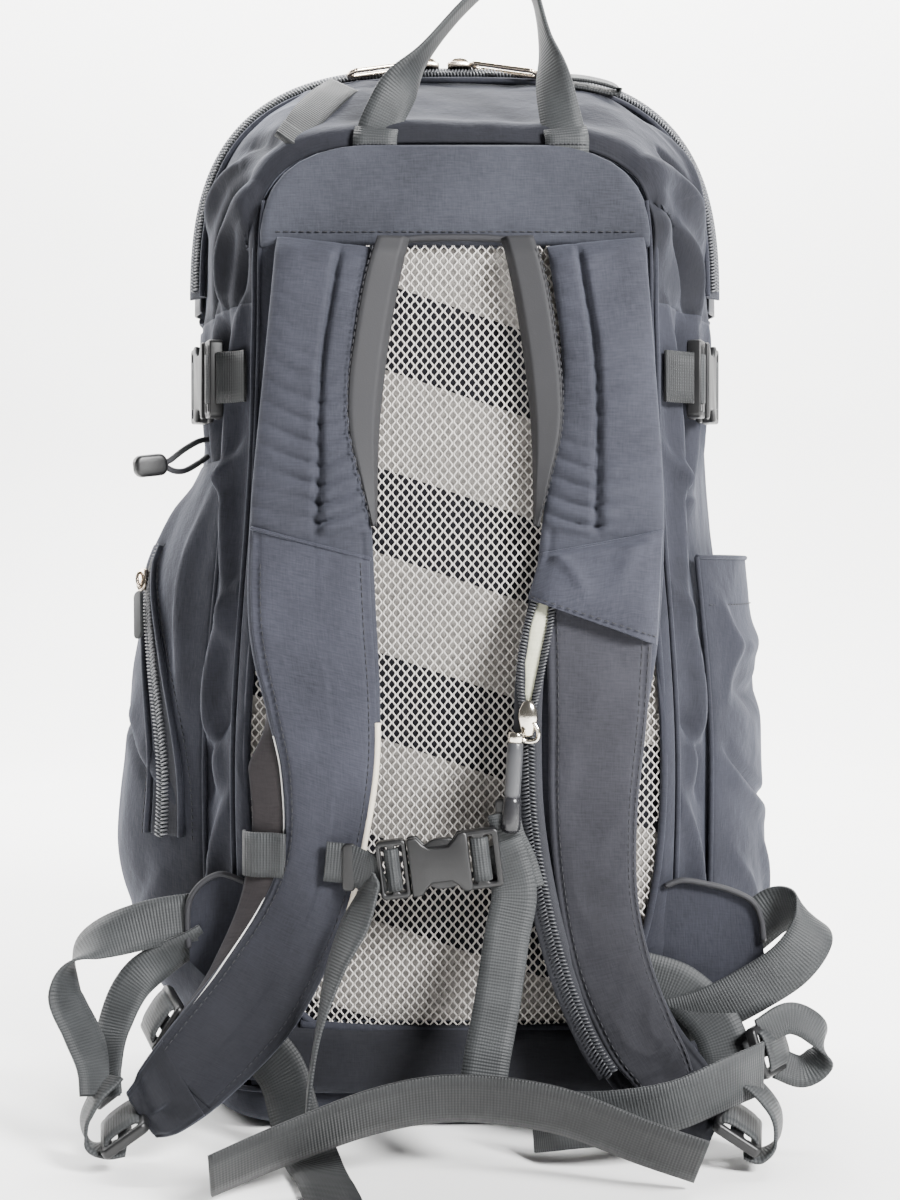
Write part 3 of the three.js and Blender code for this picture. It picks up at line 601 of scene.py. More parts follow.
look = {
    "cloth": cloth_material("slate_nylon", (0.0058, 0.0062, 0.0093), (0.0185, 0.0196, 0.0275)),
    "trim": plain_material("smooth_binding", (0.065, 0.066, 0.073), 0.55, grain_size=1600.0),
    "brown": cloth_material("brown_lining", (0.0075, 0.0062, 0.0068), (0.018, 0.015, 0.0155), 900.0, 0.06),
    "net": plain_material("pale_net", (0.45, 0.425, 0.4), 0.8, grain_size=1500.0),
    "backing": backing_material("net_backing"),
    "webbing": webbing_material("ribbed_webbing", (0.006, 0.0067, 0.0075), (0.041, 0.044, 0.0458)),
    "dim": webbing_material("dark_webbing", (0.0035, 0.004, 0.0045), (0.019, 0.0205, 0.0215)),
    "plastic": plain_material("black_acetal", (0.0045, 0.0045, 0.005), 0.42),
    "steel": plain_material("warm_nickel", (0.62, 0.53, 0.43), 0.24, 1.0),
    "zip": plain_material("zip_coil", (0.03, 0.031, 0.035), 0.35),
    "tape": cloth_material("zip_tape", (0.012, 0.012, 0.015), (0.028, 0.029, 0.034), 900.0, 0.1),
    "piping": plain_material("cream_piping", (0.62, 0.56, 0.46), 0.6),
    "lining": cloth_material("cream_lining", (0.36, 0.36, 0.26), (0.55, 0.55, 0.42), 900.0, 0.1),
    "thread": plain_material("sewing_thread", (0.008, 0.008, 0.011), 0.7),
    # strap_nylon, strap_cover and sleeve_nylon carry painted shade at their low ends (foot below 1).
    "strap": cloth_material("strap_nylon", (0.0092, 0.0098, 0.014), (0.031, 0.0325, 0.0435), foot=0.3),
    "smooth": cloth_material("strap_cover", (0.0105, 0.011, 0.0158), (0.0345, 0.036, 0.0485), foot=0.3),
    # A darker copy of the slate nylon: painted shade for the lumbar pad and the left strap's end, which lie
    # in shadow.
    "shade": cloth_material("lumbar_painted_shade_nylon", (0.003, 0.0032, 0.0046), (0.009, 0.0094, 0.0125)),
    "yoke": cloth_material("yoke_nylon", (0.0115, 0.0122, 0.0165), (0.034, 0.036, 0.0465)),
    # A darker copy of the slate nylon for the top band: painted shade, as the band faces up and back, away
    # from the light.
    "band": cloth_material("band_painted_shade_nylon", (0.0028, 0.003, 0.0046), (0.0095, 0.01, 0.0144)),
    "sleeve": cloth_material("sleeve_nylon", (0.0098, 0.0099, 0.0132), (0.0275, 0.0276, 0.0345), foot=0.55),
    "binding": plain_material("matte_binding", (0.0135, 0.0135, 0.0155), 0.78, grain_size=1500.0),
    "white": plain_material("white_piping", (0.75, 0.74, 0.72), 0.6),
    "teeth": plain_material("glinting_coil", (0.09, 0.092, 0.1), 0.3),
    "chrome": plain_material("pale_gold_chrome", (0.8, 0.74, 0.64), 0.14, 1.0),
    "gloss": plain_material("glossy_black", (0.016, 0.016, 0.018), 0.22),
    "grip": plain_material("grey_grip", (0.045, 0.046, 0.05), 0.3),
    "sheet": plain_material("framesheet", (0.75, 0.75, 0.73), 0.4),
    "alloy": plain_material("stay_alloy", (0.7, 0.7, 0.72), 0.35, 1.0),
    "elastic": plain_material("braided_elastic", (0.035, 0.035, 0.04), 0.75, 0.0, 700.0, 0.0004),
}


# ---------------------------------------------------------------- finished pieces
def put(obj, body, slot, *nodes):
    """Attach a finished piece to its body and let it stand for its CAD nodes. Its slot is not used."""
    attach(obj, body)
    if nodes:
        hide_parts(*nodes)
    return obj


def cloth(name, grid, thick, *nodes, finish="cloth", body="pack", slot="cloth", inside=BAG_CENTRE):
    """A sheet of cloth over a grid of points."""
    return put(sheet_mesh(name, grid, look[finish], thick, inside), body, slot, *nodes)


def piped(name, points, radius, count, finish="cloth", sides=8, body="pack", slot="cloth"):
    """A round seam, hem, piping or wire along a line."""
    return put(tube(name, points, radius, look[finish], sides, count), body, slot)


def sewn(name, points, facing, pitch=3.4, long=2.4, thick=0.6, slot="cloth"):
    """A row of stitches."""
    return put(stitches(name, points, facing, look["thread"], pitch, long, thick), "pack", slot)


def strip(name, points, across, width, *nodes, thick=1.6, count=70, finish="webbing", body="pack"):
    """A length of webbing."""
    return put(webbing(name, points, across, width, look[finish], thick, count), body, "webbing", *nodes)


def moulding(name, outlines, depth, bevel, matrix, body, *nodes, steps=3, finish="plastic"):
    """A plate of plastic or metal with rounded edges."""
    return put(flat_plate(name, outlines, depth, bevel, look[finish], matrix, steps), body, finish, *nodes)


# ---------------------------------------------------------------- the bag's surface
def rib_at(y):
    """The bag's section at a depth y, between the ribs: half widths, arch height and squareness."""
    k = int(np.clip(np.searchsorted(RIBS[:, 0], y) - 1, 0, len(RIBS) - 2))
    a, b = RIBS[k], RIBS[k + 1]
    before, after = RIBS[max(k - 1, 0)], RIBS[min(k + 2, len(RIBS) - 1)]
    span = b[0] - a[0]
    t = (y - a[0]) / span
    m0 = (b - before) / max(b[0] - before[0], TINY) * span
    m1 = (after - a) / max(after[0] - a[0], TINY) * span
    row = (
        (2 * t**3 - 3 * t**2 + 1) * a
        + (t**3 - 2 * t**2 + t) * m0
        + (-2 * t**3 + 3 * t**2) * b
        + (t**3 - t**2) * m1
    )
    row[0] = y
    return row


def half_width(rib, z):
    z = np.asarray(z, float)
    low = mix(rib[1], rib[2], smooth(z / POCKET_Z))
    middle = mix(rib[2], rib[3], smooth((z - POCKET_Z) / (WAIST_Z - POCKET_Z)))
    high = mix(rib[3], rib[4], smooth((z - WAIST_Z) / (KNEE - WAIST_Z)))
    return np.where(z < POCKET_Z, low, np.where(z < WAIST_Z, middle, high))


def on_rib(rib, share):
    """Points round a rib: share 0 is the left foot, 0.5 the top and 1 the right foot."""
    share = np.atleast_1d(np.asarray(share, float))
    side = np.where(share < 0.5, -1.0, 1.0)
    up = np.minimum(share, 1 - share)
    straight = up <= SIDE_SHARE
    z_low = mix(SIDE_LOW, KNEE, np.clip(up / SIDE_SHARE, 0, 1))
    angle = np.clip((up - SIDE_SHARE) / (0.5 - SIDE_SHARE), 0, 1) * math.pi / 2
    power = 2 / rib[6]
    x = np.where(straight, half_width(rib, z_low), rib[4] * np.cos(angle).clip(0) ** power)
    z = np.where(straight, z_low, KNEE + (rib[5] - KNEE) * np.sin(angle) ** power)
    return np.stack([side * x, np.full_like(x, rib[0]), z], 1)


def wall(side, y, z, out=0.0):
    """Points on a side wall, moved outwards by out."""
    y, z, out = np.broadcast_arrays(np.asarray(y, float), np.asarray(z, float), np.asarray(out, float))
    half = [float(half_width(rib_at(a), b)) for a, b in zip(y.ravel(), z.ravel())]
    return np.stack([side * (np.array(half).reshape(y.shape) + out), y, z], -1)


def outwards(grid, centre):
    """The directions square to a grid that point away from centre on the whole."""
    return normals_of(grid) if faces_away(grid, centre) else -normals_of(grid)


def draped(grid, strength=1.0, inside=BAG_CENTRE, folds=()):
    """The grid with the soft folds of filled cloth, calm at the seams."""
    y, z = grid[..., 1], grid[..., 2]
    broad = grain(grid, (16, 16, 5.5), 1.7)
    narrow = grain(grid, (46, 46, 13), 6.1)
    crease = 1 - 2 * np.abs(grain(grid, (30, 30, 9), 9.4))
    at_zip = 0.25 + 0.75 * smooth(np.abs(y - ZIP_Y) / 14)
    calm = smooth((y - BACK_Y) / 22) * smooth((z - SIDE_LOW + 2) / 30) * at_zip
    amount = (3.0 * broad + 1.7 * narrow + 1.6 * crease * smooth(broad + 0.6)) * calm * strength
    return grid + outwards(grid, inside) * (amount + creased(grid, folds))[..., None]


def bag_grid(rows, points_of):
    return np.stack([points_of(r) for r in rows])


# Each fold: its line by depth and height (or by depth and share of the arch), its width and its height.
SIDE_FOLDS = (
    (((-84, 398), (-76, 340), (-80, 290), (-86, 240)), 6, 5.0),
    (((-66, 400), (-62, 350), (-68, 300)), 7, -4.5),
    (((-52, 398), (-46, 352), (-50, 318)), 8, 4.5),
    (((-88, 330), (-70, 310), (-50, 305)), 5, 3.6),
    (((-90, 262), (-80, 240), (-76, 205), (-82, 170)), 6, 4.6),
    (((-90, 205), (-78, 186), (-74, 160)), 5, -3.5),
    (((-90, 160), (-80, 132), (-78, 100), (-84, 70)), 6, 4.8),
    (((-90, 120), (-79, 98), (-76, 74)), 4, -3.2),
    (((-90, 76), (-76, 60), (-60, 44)), 6, 4.0),
    (((-20, 398), (-12, 366), (-16, 330)), 9, 3.5),
    (((20, 398), (30, 350), (24, 300)), 9, 3.5),
)
ARCH_FOLDS = (
    (((-80, 0.36), (-66, 0.345), (-52, 0.322), (-46, 0.3)), 5, -5.5),
    (((-88, 0.352), (-80, 0.335), (-70, 0.315), (-64, 0.3)), 5.5, 5.0),
    (((-62, 0.372), (-46, 0.35), (-30, 0.33)), 6, 5.0),
    (((-90, 0.33), (-86, 0.315), (-80, 0.3)), 4, -3.6),
    (((-78, 0.405), (-60, 0.398), (-42, 0.386)), 7, -3.4),
    (((-88, 0.62), (-72, 0.64), (-52, 0.662), (-34, 0.675)), 7, 6.0),
    (((-60, 0.618), (-46, 0.64), (-30, 0.655)), 4, -6.5),
    (((-90, 0.652), (-80, 0.67), (-66, 0.69), (-58, 0.7)), 4.5, -5.0),
    (((-70, 0.675), (-56, 0.688), (-46, 0.7)), 6, 4.5),
    (((-30, 0.6), (-24, 0.64), (-22, 0.68)), 6, 3.0),
)


def all_folds():
    """Both sets of folds as places on the bag, so that neighbouring cloths fold alike where they meet."""
    sides = [
        ([wall(side, y, z) for y, z in line], width, height)
        for side, _ in SIDES
        for line, width, height in SIDE_FOLDS
    ]
    arch = [
        ([on_rib(rib_at(y), share)[0] for y, share in line], width, height)
        for line, width, height in ARCH_FOLDS
    ]
    return sides + arch


def side_panel(side, name):
    depths = np.linspace(BACK_Y + 2, FRONT_SEAM_Y - 4, 90)
    heights = np.linspace(SIDE_LOW - 1, KNEE, 200)
    grid = bag_grid(depths, lambda y: wall(side, y, heights))
    cloth(f"side_cloth_{name}", draped(grid, folds=all_folds()), CLOTH_T, f"side_panel_{name}")


def side_seam(side, name):
    """The corded seam that joins a side to the front panel."""
    heights = np.linspace(SIDE_LOW - 1, KNEE - 2, 60)
    line = wall(side, np.full(60, FRONT_SEAM_Y - 1.8), heights, -0.4)
    piped(f"side_seam_{name}", line, 2.6, sides=10, count=160)


def arch_line(y, out=0.0, start=SIDE_SHARE + 0.006, count=120):
    """A line round the arch at depth y, raised off the cloth by out, with its outward directions."""
    shares = np.linspace(start, 1 - start, count)
    line = on_rib(rib_at(y), shares)
    way = np.gradient(line, axis=0)
    outward = unit(np.stack([-way[:, 2], np.zeros(count), way[:, 0]], 1))
    return line + outward * out, outward


def arch_strip(y0, y1, out, crown=0.0, steps=10):
    """The grid of a strip round the arch between two depths, crowned in its middle."""
    rows = [
        arch_line(mix(y0, y1, t), out + crown * math.sin(math.pi * t), SIDE_SHARE + 0.002, 200)[0]
        for t in np.linspace(0, 1, steps)
    ]
    return np.stack(rows)


def gusset():
    """The band over the top, which puffs up behind the yoke and folds at its two corners."""
    depths = np.linspace(BACK_Y + 0.5, ZIP_Y - 9, 90)
    shares = np.linspace(SIDE_SHARE, 1 - SIDE_SHARE, 420)
    grid = draped(bag_grid(depths, lambda y: on_rib(rib_at(y), shares)), folds=all_folds())
    arch = smooth((shares - SIDE_SHARE) / 0.03) * smooth((1 - SIDE_SHARE - shares) / 0.03)
    puff = 5.0 * np.exp(-(((depths - BACK_Y - 9) / 8) ** 2))[:, None] * arch[None]
    square = normals_of(grid)
    outward = square * np.sign(np.sum(square * (grid - BAG_CENTRE), 2))[..., None]
    grid = grid + outward * puff[..., None]
    grid[..., 1] -= puff * 0.5
    # The band wears the darker copy of the nylon: painted shade on its upward face.
    cloth("gusset_cloth", grid, CLOTH_T, "top_gusset", finish="band")


def front_line(u):
    """The front panel's depth across it: flat in the middle and drawn back at its two sides."""
    return FRONT_SEAM_Y + (FRONT_Y - FRONT_SEAM_Y) * (1 - np.abs(u) ** 2.4)


def front_panel():
    heights = np.linspace(SIDE_LOW - 1, KNEE, 130)
    half = half_width(RIBS[-1], heights)
    across = np.linspace(-1, 1, 110)
    grid = bag_grid(across, lambda u: np.stack([u * half, np.full_like(heights, front_line(u)), heights], 1))
    cloth("front_cloth", draped(grid, 0.9), CLOTH_T, "front_panel")


def opening_front():
    """The lid of cloth that folds down from the zip, its smooth border first and its cloth after."""
    rib = RIBS[-1]
    count = 240
    low = KNEE + 1.2
    border = ZIP_Y + 34
    shares = np.linspace(SIDE_SHARE + 0.001, 1 - SIDE_SHARE - 0.001, count)
    across = np.linspace(-1, 1, count)
    seam = on_rib(rib, shares)
    fold_u = 0.68 * across
    fold = np.stack([fold_u * rib[4], front_line(fold_u), np.full(count, low)], 1)
    belly = mix(seam, fold, 0.45)
    belly[:, 1] += mix(10, 1, across**2)
    stations = np.stack([on_rib(rib_at(y), shares) for y in (ZIP_Y + 8, 12, 25, 48)] + [seam, belly, fold])
    grid = np.stack([catmull(stations[:, k], np.linspace(0, 1, 90)) for k in range(count)], 1)
    grid[..., 2] = np.maximum(grid[..., 2], low)
    centre = vec(0, 20, 430)
    grid = mix(grid, draped(grid, 0.9, centre), smooth((grid[..., 1:2] - border) / 22))
    body = "opening_front"
    cloth("opening_cloth", grid, CLOTH_T, "opening_front", body=body, inside=centre)
    hem = np.concatenate([grid[::9, 0], grid[-1, ::12], grid[::-9, -1]]) - vec(0, 0, 0.9)
    piped("opening_hem", hem, 1.5, count=260, body=body)
    tape = arch_strip(ZIP_Y + 1.5, ZIP_Y + 10, 1.0)
    cloth("opening_tape", tape, 1.2, finish="tape", body=body, slot="zip")
    edge = arch_strip(ZIP_Y + 8, border, 0.8, 3.4, 16)
    cloth("opening_border", edge, 1.2, finish="trim", body=body, slot="trim")
    line, _ = arch_line(border, 1.2)
    piped("opening_piping", line, 1.7, finish="trim", count=160, body=body, slot="trim")


def footprint(inset, z):
    """A closed loop round the base pan at a height, drawn in by inset."""
    right = [(50, BACK_Y)] + [(r[1] - inset, r[0]) for r in RIBS] + [(96, 86), (48, 94)]
    left = [(-x, y) for x, y in right][::-1]
    loop = right + [(0, PAN_FRONT)] + left + [(0, BACK_Y)]
    points = [(x, min(max(y, BACK_Y + 1 + inset), PAN_FRONT - inset), z) for x, y in loop]
    return catmull(np.array(points + points[:1], float), np.linspace(0, 1, 161))[:-1]


# The base pan's section: how far each loop is drawn in, and its height, outside first and inside after.
PAN_RINGS = (
    (19.5, 0.0), (14, 0.6), (8, 3), (3, 7), (0.6, 12), (0, 17), (0, 22),
    (2.2, 22), (2.2, 14), (6, 8), (12, 4),
)


def base_pan():
    rings = np.stack([footprint(inset, z) for inset, z in PAN_RINGS])
    put(ring_mesh("base_cloth", rings, look["cloth"]), "pack", "cloth", "base_pan")
    seam = footprint(-0.6, 21.5)
    piped("base_seam", along_curve(np.concatenate([seam[20:], seam[:21]]), 200), 1.3, sides=6, count=200)


def rear_seam():
    """The corded seam between the rear wall and the sides, and over the top."""
    line = on_rib(rib_at(BACK_Y + 1.5), np.linspace(0.004, 0.996, 240))
    line[:, 0] *= 1.004
    piped("rear_seam", line, 1.3, count=300)


# ---------------------------------------------------------------- side pockets
# Each pocket: its rear, front, foot and top, how far it bulges at even steps up it, how squarely it
# bulges across, and how crumpled it is.
POCKETS = {
    -1: ((-72.0, 56.0, 28.0, 326.0), (0, 19, 32, 26, 24, 20, 0), 0.8, 1.0),
    1: ((-66.0, 56.0, 28.0, 278.0), (0, 13, 17, 15, 14, 14, 15), 0.7, 0.9),
}
POCKET_OUT = 2.8
POCKET_FOLDS = {
    -1: (
        (((-70, 132), (-52, 158), (-20, 186), (20, 196)), 4.5, -4.0),
        (((-70, 142), (-52, 168), (-20, 196)), 6, 2.4),
        (((-66, 318), (-58, 270), (-62, 225), (-66, 190)), 5, 3.4),
        (((-60, 120), (-40, 96), (-10, 84)), 8, 3.6),
        (((-66, 90), (-50, 66), (-20, 54)), 7, 3.4),
        (((-30, 320), (-18, 280), (-24, 240)), 8, 3.0),
        (((10, 310), (24, 250), (16, 180)), 9, 3.0),
    ),
    1: (
        (((-66, 190), (-40, 166), (-8, 152), (20, 148)), 4.0, -4.0),
        (((-64, 180), (-40, 156), (-8, 142)), 7, 2.6),
        (((-62, 262), (-50, 236), (-56, 206)), 6, 3.0),
        (((-46, 214), (-20, 206), (10, 210)), 9, -4.6),
        (((-60, 236), (-30, 232), (0, 236)), 9, 3.4),
        (((-60, 130), (-44, 108), (-30, 74)), 7, 3.4),
        (((-20, 130), (-6, 96), (-10, 60)), 8, 3.2),
        (((20, 250), (28, 190), (20, 120)), 9, 3.0),
    ),
}
SLIDER_PLATE = ((6, 2.2), (6, -2.2), (3, -4.2), (-4, -4.8), (-6, -2.6), (-6, 2.6), (-4, 4.8), (3, 4.2))
SLIDER_BRIDGE = ((-4, 0, 0.8), (-3, 0, 2.6), (0, 0, 3.2), (3, 0, 2.6), (4, 0, 0.8))


def on_pocket(side, u, v, out=0.0):
    """Places on a side pocket: u runs from its rear to its front and v up it."""
    (y0, y1, z0, z1), deep, power, _ = POCKETS[side]
    u, v = np.broadcast_arrays(np.asarray(u, float), np.asarray(v, float))
    swell = np.sin(math.pi * u).clip(0) ** power * stops(deep, v.ravel()).reshape(v.shape)
    return wall(side, mix(y0, y1, u), mix(z0, z1, v), POCKET_OUT + swell + out)


def zip_u(v):
    """The pocket zip starts low at the rear and curves forwards as it climbs."""
    return mix(0.11, 0.42, np.clip((v - 0.4) / 0.43, 0, 1) ** 2)


def crumpled(grid, side):
    """A pocket's cloth with its folds and its rough noise, calm at the edges."""
    rough = 2.2 * grain(grid, (20, 20, 12), 4.2) + 0.9 * grain(grid, (60, 60, 40), 2.4)
    u = np.linspace(0, 1, grid.shape[0])[:, None]
    v = np.linspace(0, 1, grid.shape[1])[None]
    calm = smooth(np.minimum(u, 1 - u) / 0.12) * smooth(np.minimum(v, 1 - v) / 0.08)
    flat = grid * vec(0, 1, 1)
    folds = [([(0, y, z) for y, z in line], width, height) for line, width, height in POCKET_FOLDS[side]]
    grid[..., 0] += side * (rough * POCKETS[side][3] + creased(flat, folds)) * calm
    return grid


def side_pockets():
    u, v = np.meshgrid(np.linspace(0, 1, 70), np.linspace(0, 1, 110), indexing="ij")
    for side, name in SIDES:
        cloth(f"pocket_cloth_{name}", crumpled(on_pocket(side, u, v), side), 1.8, f"pocket_{name}")
    piped("pocket_hem_right", on_pocket(1, np.linspace(0, 1, 60), 1.0), 1.3, count=80)
    row = on_pocket(1, np.linspace(0.03, 0.97, 40), 0.904, 0.6)
    sewn("pocket_stitches_right", row, vec(1, 0, 0), long=2.5, thick=0.55)
    for side, name in SIDES:
        (rear, _, foot, top), *_ = POCKETS[side]
        edge = wall(side, np.full(60, rear - 0.5), np.linspace(foot, top, 60), 3.0)
        piped(f"pocket_seam_{name}", edge, 1.4, sides=6, count=90)
    pocket_zip()


def pocket_zip():
    v = np.linspace(0.37, 0.86, 90)
    u = zip_u(v)
    tape = on_pocket(-1, u + np.linspace(-1, 1, 14)[:, None] * 0.05, v, 1.5)
    cloth("pocket_tape", tape, 0.9, "pocket_zip_tape", finish="tape", slot="zip")
    line = on_pocket(-1, u, v, 2.4)
    side = unit(on_pocket(-1, u + 0.02, v) - on_pocket(-1, u - 0.02, v))
    facing = unit(np.cross(side, np.gradient(line, axis=0)))
    facing = facing * np.sign(-facing[:, :1])
    put(coil("pocket_coil", line, facing, look["teeth"], 8.6, 1.9, 2.8), "pack", "zip")
    for off, name in ((-0.062, "rear"), (0.062, "front")):
        piped(f"pocket_lip_{name}", on_pocket(-1, u + off, v, 2.2), 1.7, count=110)
        sewn(f"pocket_stitches_{name}", on_pocket(-1, u + off * 1.45, v, 1.6), facing)
    across = vec(0.66, -0.75, 0)
    start = on_pocket(-1, zip_u(0.8), 0.8, 5.6)
    way = unit(on_pocket(-1, zip_u(0.55), 0.55, 10.0) - start)
    slider("pocket_slider_body", start, way, across, "pocket_slider", "pocket_zip_slider")
    outward = unit(np.cross(way, across))
    outward = outward * (1 if outward[0] < 0 else -1)
    tab = frame_matrix(start + way * 20 + outward * 2.6, way, across)
    puller = "pocket_puller", "pocket_zip_puller"
    moulding("pocket_tab", [rounded(26, 7, 3)], 1.8, 0.5, tab, *puller, finish="webbing")


def slider(name, at, way, across, body, node, scale=1.0):
    """A zip slider: a heart-shaped plate with a raised bridge for its puller."""
    m = frame_matrix(at, way, across)
    outline = [(x * scale, y * scale) for x, y in SLIDER_PLATE]
    moulding(name, [outline], 2.6, 0.8, m, body, node, finish="steel")
    bridge = local(m, np.array(SLIDER_BRIDGE) * scale)
    piped(name + "_bridge", bridge, 0.9, finish="steel", count=20, body=body, slot="steel")


# ---------------------------------------------------------------- back panel
# The net's height and half width, down its edge.
NET_EDGE = ((428, 82), (360, 85), (280, 92), (200, 98), (165, 99), (120, 95), (85, 86), (60, 74), (50, 62))
NET_FOOT = 50
NET_TOP = 428
NET_HALF = 98
NET_Y = -99.4
RIM_Y = -100.2
BACKING_Y = -96.6
STRAND = 0.52


def net_half(z):
    heights, halves = np.array(NET_EDGE[::-1], float).T
    return np.interp(z, heights, halves)


def net_front(x, z):
    """The net bellies a little between its edges."""
    ends = smooth((z - NET_FOOT + 1) / 16) * smooth((NET_TOP + 1 - z) / 10)
    rim = smooth((net_half(z) - np.abs(x)) / 22) * ends
    return NET_Y - 4.2 * rim - 0.8 * np.sin(z * 0.021 + x * 0.03) * rim


def net():
    """Knitted strands: each zigzags, and meets its neighbours in turn, which leaves staggered holes."""
    spacing, period, swing, steps = 2.25, 5.2, 0.78, 8
    points = []
    faces = []
    count = int(2 * NET_HALF / spacing)
    for k in range(count):
        x0 = (k - (count - 1) / 2) * spacing
        rungs = np.arange(NET_FOOT, NET_TOP, period / steps)
        heights = np.array([z for z in rungs if net_half(z) > abs(x0) + 1])
        phase = heights / period * 2 * math.pi
        sway = np.sin(phase) * swing * (1 if k % 2 else -1)
        line = np.stack([np.full_like(heights, x0), heights * 0, heights], 1)
        x = x0 + sway + 0.35 * grain(line, (20, 1, 20), 2.1)
        y = net_front(x, heights) - 0.28 * np.cos(2 * phase)
        start = len(points)
        for px, py, pz in zip(x, y, heights):
            points += [(px - STRAND, py, pz), (px, py - 0.5, pz), (px + STRAND, py, pz), (px, py + 0.5, pz)]
        faces += [tuple(start + i for i in f) for f in grid_faces(len(heights), 4, wrap=True)]
    put(make_mesh("back_net", points, faces, None, look["net"]), "pack", "mesh", "back_mesh")
    backing = []
    for z in np.linspace(NET_FOOT - 4, NET_TOP + 3, 60):
        half = float(net_half(z)) + 2
        across = np.linspace(-1, 1, 30) * half
        backing.append([(x, net_front(x, z) * 0.15 + BACKING_Y * 0.85, z) for x in across])
    cloth("net_backing", np.array(backing), 0.6, finish="backing", slot="mesh", inside=vec(0, 0, 240))


def panel_pad(rows, depth, base, roll, seed):
    """The grid of a soft pad on the back panel, from rows of (height, half width), rounded at its rim."""
    heights, halves = np.array(rows, float).T
    z = np.linspace(heights[0], heights[-1], 70)
    half = np.interp(z, heights, halves)
    u = np.linspace(-1, 1, 120)
    grid = np.zeros((len(z), len(u), 3))
    grid[..., 0] = u[None] * half[:, None]
    grid[..., 2] = z[:, None]
    rim = np.minimum((1 - np.abs(u))[None] * half[:, None], np.minimum(z - z[0], z[-1] - z)[:, None])
    rise = np.sqrt(1 - (1 - np.clip(rim / roll, 0, 1)) ** 2)
    grid[..., 1] = base - depth * rise - 0.5 * grain(grid, (24, 1, 60), seed) * rise
    return grid


def rear_half(z):
    """Half the rear wall's width at a height, arch included."""
    rib = RIBS[0]
    if z <= KNEE:
        return float(half_width(rib, z)) - 0.5
    rise = (z - KNEE) / (rib[5] - KNEE)
    return rib[4] * (1 - rise ** rib[6]) ** (1 / rib[6]) - 0.5


YOKE_HEIGHTS = (432, 440, 447, 454, 460, 465, 469, 471.5, 473, 473.8)
YOKE_SEAM = ((91, -99.4, 447), (93, -99, 425), (94, -98.6, 370), (97, -98, 300))
LUMBAR_ROWS = ((20, 88), (24, 93), (32, 97), (42, 97), (50, 95), (55, 93))


def net_flank(side, name):
    """The binding down one edge of the net, and the cloth from there to the rear wall's edge."""
    edge = [(side * (net_half(z) + 1.2), RIM_Y, z) for z in (428, 360, 280, 200, 150, 110, 80, 62, 52)]
    piped(f"net_binding_{name}", edge, 1.9, count=120)
    u = np.linspace(0, 1, 26)
    back = mix(RIM_Y, RIM_Y + 4, u**2)
    flank = bag_grid(
        np.linspace(26, 440, 200),
        lambda z: np.stack([side * mix(net_half(z), rear_half(z), u), back, np.full_like(u, z)], 1),
    )
    ridges = 1 - 2 * np.abs(grain(flank, (40, 20, 20), 2.0))
    flank[..., 1] -= 2.6 * grain(flank, (26, 20, 11), 8.0) + 1.4 * ridges
    cloth(f"back_flank_{name}", flank, 1.2)


def back_panel():
    yoke = [(424.5, 93.5)] + [(z, rear_half(z)) for z in YOKE_HEIGHTS]
    cloth("yoke_cloth", panel_pad(yoke, 5.0, -97.6, 3.6, 3.0), 1.6, "yoke_panel", finish="yoke")
    # The lumbar pad wears the darker copy of the nylon: painted shade for the shadow under the straps.
    cloth("lumbar_cloth", panel_pad(LUMBAR_ROWS, 7.6, -96.8, 9, 5.0), 1.6, "lumbar_pad", finish="shade")
    for side, name in SIDES:
        net_flank(side, name)
    low = [(x, -100.6, 51 + 0.0006 * x * x) for x in np.linspace(-74, 74, 12)]
    piped("net_binding_low", low, 2.2, count=90)
    hem = [(-26, -103.6, 427.6), (-12, -103.4, 428.6), (12, -103.4, 428.6), (26, -103.6, 427.6)]
    piped("net_binding_top", hem, 1.7, finish="thread", count=40)
    sewn("yoke_stitches", [(x, -102.9, 431.6) for x in np.linspace(-84, 84, 9)], REARWARD, 3.6, 2.6)
    for side, name in SIDES:
        seam = [(side * x, y, z) for x, y, z in YOKE_SEAM]
        piped(f"yoke_seam_{name}", seam, 1.1, sides=6, count=60)


# ---------------------------------------------------------------- shoulder straps
TUCK = 9.0


